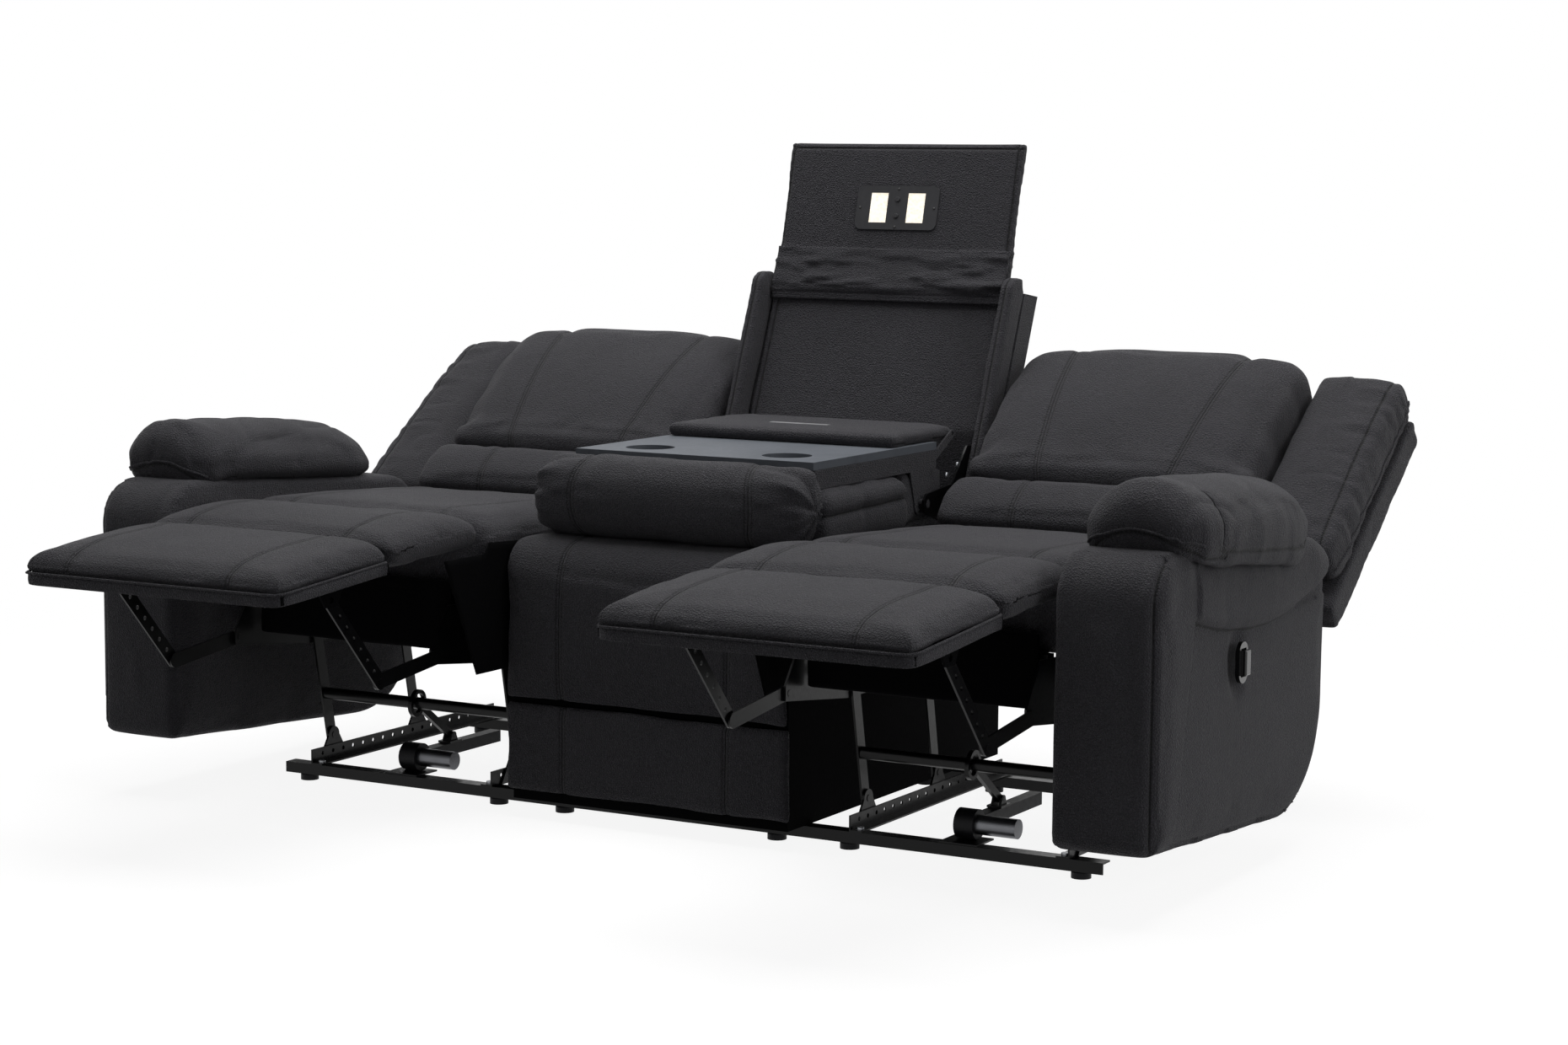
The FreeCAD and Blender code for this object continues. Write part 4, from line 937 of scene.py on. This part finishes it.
def makeArm(side, name):
    seed = 71 if side > 0 else 171
    solid = solidsOf("arm_" + name)[0]
    cover = cushion("arm_cover_" + name, solid, 10.0, 6.0, 2, side, seed, slack=0.02, fit=0.9)
    x, y, z = cover.at.T
    outer = cover.out[:, 0] > 0.35
    front = cover.out[:, 1] < -0.3
    # the side panel is set in under a concave seam, with an upright seam near its front
    bow = ((y - 130.0) / 330.0) ** 2
    drop = 452.0 - 26.0 * np.clip(1 - bow, -1, 1) + 26.0 * bow
    panelFront = -155.0 - 0.175 * (465.0 - z)
    inPanel = alongFrom(y, panelFront - 2, panelFront + 4) * np.where(outer, 1.0, 0.0)
    cover.push(-8.0 * inPanel * alongFrom(drop - z, -3, 6))
    cover.push(6.0 * inPanel * alongFrom(z - drop, -3, 22) * alongFrom(590.0 - z, 0, 90))
    cover.stitch(z - drop, y, outer & (y > panelFront - 4), 4.0, 6.0, False)
    cover.stitch(y - panelFront, z, outer & (z < drop + 4), 5.0, 6.0, False)
    cover.stitch(x - 1044.0, z, front, 4.0, 6.0, False)
    switch = np.hypot(y - 38.0, 0.62 * (z - 378.0))
    cover.push(np.where(outer, -11.0 * np.exp(-(switch / 34.0) ** 4), 0))
    cover.creases((0, 1, 0.2), 80.0, 3.4, outer & (z > 440))
    cover.gathers(y, 592.0 - z, 40.0, 70.0, 4.4, outer)
    cover.gathers(x, 560.0 - z, 44.0, 46.0, 2.6, front)
    cover.creases((0, 0, 1), 110.0, 3.0, front)
    cover.lumps(130.0, 2.2)
    settle(cover, "seat_" + name, ["arm_" + name])

    seed = 81 if side > 0 else 187
    solid = solidsOf("arm_pad_" + name)[0]
    cover = cushion("arm_pad_cover_" + name, solid, 10.0, 9.0, 3, side, seed, slack=0.05)
    x, y, z = cover.at.T
    nose = alongFrom(-90.0 - y, 0.0, 95.0)
    flank = alongFrom(x, 1010.0, 1085.0) * alongFrom(330.0 - y, 0.0, 90.0)
    cover.shifted[:, 2] += np.where(z < 618, (z - 618.0) * 0.75 * np.maximum(nose * 0.8, flank), 0)
    cover.shifted[:, 2] += np.where(z > 618, (z - 618.0) * 0.25 * nose, 0)
    cover.shifted[:, 2] -= 5.0 * alongFrom(612.0 - z, 0, 20)
    band = 612.0 - np.where(x < 968, 0.0036, 0.0018) * (x - 968.0) ** 2
    front = y < -95
    cover.stitch(z - band, x, front & (cover.out[:, 1] < 0.15), 3.0, 4.5, False)
    cover.push(np.where(front, -4.0 * alongFrom(band - z, 0, 26) * alongFrom(-95 - y, 0, 60), 0))
    outer = cover.out[:, 0] > 0.0
    seamY = -118.0 if side > 0 else -96.0
    low = 596.0 - 0.05 * (y - seamY)
    if side > 0:
        upright = outer & (z > low) & (z < 668) & (x > 1020)
        cover.stitch(y - seamY - 0.2 * (z - 600), z, upright, 2.8, 4.5, False)
    cover.stitch(z - low, y, outer & (y > seamY) & (x > 1000), 2.6, 4.5, False)
    cover.gathers(y, np.abs(z - low), 26.0, 44.0, 4.2, outer & (y > seamY - 20))
    cover.gathers(x + y, np.abs(z - band), 26.0, 40.0, 4.4, front)
    cover.creases((0.4, 1, 0.3), 70.0, 3.6, cover.out[:, 2] > -0.2)
    cover.gathers(x, 350.0 - y, 40.0, 60.0, 3.0)
    cover.lumps(85.0, 2.4)
    piece = settle(cover, "seat_" + name, ["arm_pad_" + name])
    path = []
    for px in np.linspace(880, 1082, 40):
        low = 612.0 - (0.0036 if px < 968 else 0.0018) * (px - 968.0) ** 2
        path.append((side * px, -215.0 + 0.0035 * (px - 975.0) ** 2, low))
    tube("arm_pad_welt_" + name, snapped(piece, path, 0.8), 2.4, "seat_" + name)


for side, name in ((-1, "left"), (1, "right")):
    makeSeat(side, name)
    makeLinings(side, name)
    makeSprings(side, name)
    makeChaise(side, name)
    makeFootrest(side, name)
    makeBack(side, name)
    makeArm(side, name)
    print("end seat", name, "covered")

# centre seat, centre back and console

centreLook = {"half": 289.0, "seamHalf": 172.0}


def makeCentreSeat():
    look = centreLook
    solid = solidsOf("centre_seat_cushion")[0]
    cover = cushion("centre_seat_cover", solid, 8.0, 5.0, 4, 1, 91, fit=0.97)
    x, y, z = cover.at.T
    front = cover.out[:, 1] < 0.3
    cover.seamPair(x, look["seamHalf"], z - y, front | (cover.out[:, 2] > 0.3), 2.0, 6.0)
    ends = look["half"] - np.abs(x)
    cover.gathers(z - y, ends, 60.0, 34.0, 2.6)
    cover.gathers(x, z - 212.0, 60.0, 40.0, 2.4, front)
    belly = np.sin(np.clip((z - 212) / 240, 0, 1) * math.pi) * np.clip(ends / 60, 0, 1)
    cover.push(np.where(front & (z < 440), 3.0 * belly, 0))
    cover.lumps(120.0, 2.4)
    settle(cover, "base", ["centre_seat_cushion"])

    cover = cushion("kick_cover", solidsOf("kick_panel")[0], 5.0, 2.5, 3, 1, 95, levels=0, fit=0.97)
    x, y, z = cover.at.T
    front = cover.out[:, 1] < 0.3
    cover.seamPair(x, look["seamHalf"] - 4, z, front, 1.8, 5.5)
    cover.gathers(x, 212.0 - z, 50.0, 30.0, 2.2, front)
    cover.gathers(x, z - 50.0, 60.0, 30.0, 1.8, front)
    cover.lumps(100.0, 1.6)
    settle(cover, "base", ["kick_panel"])


def makeCentreBack():
    cover = cushion("niche_cover", solidsOf("niche_panel")[0], 5.5, 1.5, 2, 1, 101, levels=0)
    x, y, z = cover.at.T
    edge = 261.0 - np.abs(x)
    cover.stitch(edge - 16.0, z, cover.out[:, 1] < 0, 1.4, 4.0, False)
    cover.creases((0.2, 0, 1), 170.0, 1.6)
    cover.gathers(x, 921.0 - z, 55.0, 50.0, 1.8)
    settle(cover, "base", ["niche_panel"])
    for side, name in ((-1, "left"), (1, "right")):
        solid = [part for part in solidsOf("centre_bolsters") if part[0][0][0] * side > 0][0]
        cover = cushion("bolster_cover_" + name, solid, 6.0, 2.0, 3, side, 105, levels=0)
        x, y, z = cover.at.T
        cover.stitch(x - 275.0, z, cover.out[:, 1] < 0.2, 0.9, 3.0, False)
        cover.gathers(z, np.abs(x - 262.0), 60.0, 12.0, 1.6)
        cover.lumps(90.0, 1.2)
        settle(cover, "base", ["centre_bolsters"] if side > 0 else [])


def makeConsole():
    parts = sorted(solidsOf("table_pillow"), key=lambda part: sum(v[1] for v in part[0]) / len(part[0]))
    roll, pillow, neck = parts
    look = {"rollHalf": 250.0, "seam": 168.0}
    cover = cushion("console_roll_cover", roll, 9.0, 8.0, 3, 1, 111, slack=0.04)
    x, y, z = cover.at.T
    around = np.degrees(np.arctan2(z - 575.0, 30.0 - y))
    front = y < 60
    cover.seamPair(x, look["seam"], around * 1.2, front, 2.4, 7.0)
    belly = np.clip(1 - ((z - 578.0) / 74.0) ** 2, 0, 1)
    cover.shifted[:, 0] += np.sign(x) * 24.0 * belly * alongFrom(np.abs(x), 60.0, 250.0)
    cover.shifted[:, 1] -= 12.0 * belly * alongFrom(40.0 - y, 0.0, 50.0) * (1 - (x / 300.0) ** 2)
    ends = look["rollHalf"] - np.abs(x)
    cover.gathers(around * 1.1, ends, 15.0, 60.0, 9.0)
    peak = np.exp(-((z - 640.0) / 16.0) ** 2 - ((y - 60.0) / 30.0) ** 2)
    peak = peak * alongFrom(np.abs(x), 190.0, 250.0)
    cover.shifted += peak[:, None] * np.stack([np.sign(x) * 16.0, 0 * x, 0 * x + 6.0], axis=1)
    cover.gathers(x, 652.0 - z, 34.0, 34.0, 2.8)
    cover.lumps(90.0, 2.2)
    settle(cover, "console_table", [])

    cover = cushion("console_pillow_cover", pillow, 10.0, 8.0, 3, 1, 115, slack=0.04)
    x, y, z = cover.at.T
    flank = np.abs(cover.out[:, 0]) > 0.3
    cover.stitch(z - 560.0 - 0.02 * (y - 200), y, flank, 5.4, 7.0, False)
    cover.gathers(y, np.abs(z - 560.0), 26.0, 40.0, 5.4, flank)
    cover.gathers(x, y - 76.0, 40.0, 60.0, 3.0)
    cover.lumps(80.0, 2.2)
    settle(cover, "console_table", [])

    cover = cushion("console_neck_cover", neck, 8.0, 5.0, 2, 1, 119)
    cover.lumps(60.0, 2.0)
    settle(cover, "console_table", ["table_pillow"])

    cover = cushion("console_lid_cover", solidsOf("table_lid")[0], 5.0, 2.5, 2, 1, 121, levels=0)
    x, y, z = cover.at.T
    rim = np.minimum(240.0 - np.abs(x), y - 385.0)
    cover.stitch(z - 658.0, x + y, np.abs(cover.out[:, 2]) < 0.6, 1.6, 3.0, False)
    cover.push(np.where(cover.out[:, 2] > 0.4, 3.0 * alongFrom(rim, 0, 60), 0))
    cover.gathers(x + y, rim, 30.0, 22.0, 1.4, cover.out[:, 2] > 0)
    settle(cover, "console_lid", ["table_lid"])


def makeLightPanel():
    half = 257.0
    solids = solidsOf("light_panel")
    cover = cushion("light_panel_cover", solids[0], 5.0, 2.0, 2, 1, 131, levels=0)
    x, y, z = cover.at.T
    high, low = z.max(), z.min()
    front = cover.out[:, 1] < 0.2
    height = (z - low) / (high - low)
    cover.stitch(half - np.abs(x) - 9.0, z, front, 1.0, 3.0, False)
    cover.stitch(high - z - 10.0, x, front, 1.0, 3.0, False)
    wrinkled = front & (height < 0.3)
    bend = 10.0 * np.cos(x / half * 1.5)
    for place, seed in ((0.12, 4), (0.21, 6)):
        line = z - (low + place * (high - low)) + bend * (0.36 - place) * 3.0
        line = line + 7.0 * unevenness(cover.at, 60.0, seed)
        fade = 0.35 + 0.65 * np.abs(x) / half
        fold = -3.0 * np.exp(-(line / 4.0) ** 2) + 2.4 * np.exp(-((line - 8) / 5.5) ** 2)
        cover.push(np.where(wrinkled, fade * fold, 0))
    cover.gathers(x, height * 260.0, 50.0, 60.0, 3.4, front)
    settle(cover, "light_flap", ["light_panel"])

    # gathered skirt over the hinge, with a double hem in front of the recess
    skirt = {"half": 256.0, "columns": 86, "thick": 3.0}
    line = [(838.0, 1002.0), (832.0, 984.0), (824.0, 964.0), (815.5, 947.0), (810.5, 934.0), (809.5, 922.0)]
    line += [(809.5, 914.0), (810.0, 906.0), (810.5, 899.0)]
    rows = []
    for first, second in zip(line, line[1:]):
        first, second = np.array(first), np.array(second)
        rows += [first + (second - first) * part for part in (0, 0.25, 0.5, 0.75)]
    rows.append(np.array(line[-1]))
    xs = np.linspace(-skirt["half"], skirt["half"], skirt["columns"])
    grid = np.array([[(x, row[0], row[1]) for x in xs] for row in rows])
    flat = grid.reshape(-1, 3)
    ends = skirt["half"] - np.abs(flat[:, 0])
    folds = unevenness(flat * (0.012, 0.02, 0.075), 1.0, 9)
    folds = folds + 0.5 * unevenness(flat * (0.03, 0.05, 0.16), 1.0, 10)
    fade = np.clip((flat[:, 2] - 914.0) / 14.0, 0, 1) * np.clip((1002.0 - flat[:, 2]) / 16.0, 0.1, 1)
    depth = 9.0 * folds * fade * (0.5 + 0.9 * np.exp(-ends / 90.0))
    high = flat[:, 2]
    hem = 1.6 * np.exp(-((high - 913.0) / 1.6) ** 2) - 1.2 * np.exp(-((high - 902.0) / 2.5) ** 2)
    front = flat.copy()
    front[:, 1] += np.clip(depth, -7.0, 1.5) + hem - 1.0
    back = flat.copy()
    back[:, 1] += skirt["thick"] + np.clip(depth, -7.0, 1.5)
    faced = [(sheet - (0, railShift, 0)) / 1000.0 for sheet in (back, front)]
    verts, faces = closedSheet(*faced, len(rows), skirt["columns"])
    piece = newPiece("light_panel_skirt", verts, faces, "charcoal_leather")
    piece.data.shade_smooth()
    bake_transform(piece)


def makeTrim():
    # pale pull strip let into the padded lid
    strip = {"half": 62.0, "wide": 7.0, "y": 470.0, "z": 682.4}
    verts, faces = [], []
    for x in np.linspace(-strip["half"], strip["half"], 12):
        for dy, dz in ((-1, -2.5), (-1, 0.6), (-0.6, 1.2), (0.6, 1.2), (1, 0.6), (1, -2.5)):
            y = strip["y"] + dy * strip["wide"] - railShift
            verts.append((x / 1000, y / 1000, (strip["z"] + dz) / 1000))
    for ring in range(11):
        for step in range(6):
            a, b = ring * 6 + step, ring * 6 + (step + 1) % 6
            faces.append((a, a + 6, b + 6, b))
    faces += [tuple(range(6)), tuple(range(66, 72))[::-1]]
    piece = newPiece("console_lid_strip", verts, faces, "pale_trim")
    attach(piece, "console_lid")

    def dome(name, place, normal, radius, body, finish):
        # a round screw or bolt head with a domed face
        normal = Vector(normal).normalized()
        side = normal.orthogonal().normalized()
        other = normal.cross(side)
        verts, faces, rings = [], [], ((1.0, -0.2), (1.0, 0.25), (0.85, 0.42), (0.5, 0.55), (0.18, 0.6))
        for share, high in rings:
            for step in range(16):
                angle = math.pi * step / 8
                spot = Vector(place) + (side * math.cos(angle) + other * math.sin(angle)) * radius * share
                spot = spot + normal * radius * high
                verts.append((spot.x / 1000, (spot.y - railShift) / 1000, spot.z / 1000))
        for ring in range(len(rings) - 1):
            for step in range(16):
                a, b = ring * 16 + step, ring * 16 + (step + 1) % 16
                faces.append((a, b, b + 16, a + 16))
        faces += [tuple(range(16))[::-1], tuple(range(64, 80))]
        mounted(newPiece(name, verts, faces, finish), body)

    number = 0
    for side in (-1, 1):
        for y, z in ((575.0, 590.0), (620.0, 606.0)):
            spot, facing = (side * 257.6, y, z), (-side, 0, 0)
            dome("bracket_bolt_%d" % number, spot, facing, 6.0, "base", "bright_steel")
            number += 1
    lean = math.radians(14.0)
    low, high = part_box("light_bezel")
    top, bottom = high.z * 1000, low.z * 1000
    for x, z in ((-82, 0.5), (82, 0.5), (0, 0.93), (0, 0.07)):
        height = bottom + (top - bottom) * z
        front = low.y * 1000 + railShift + (height - bottom) * math.tan(lean) - 0.2
        normal = (0, -math.cos(lean), math.sin(lean))
        spot = (x, front, height)
        dome("bezel_screw_%d" % number, spot, normal, 2.6, "light_flap", "switch_black")
        number += 1


makeCentreSeat()
makeCentreBack()
makeConsole()
makeLightPanel()
makeTrim()
print("centre seat, back and console covered;", len(simulated), "pieces simulated")
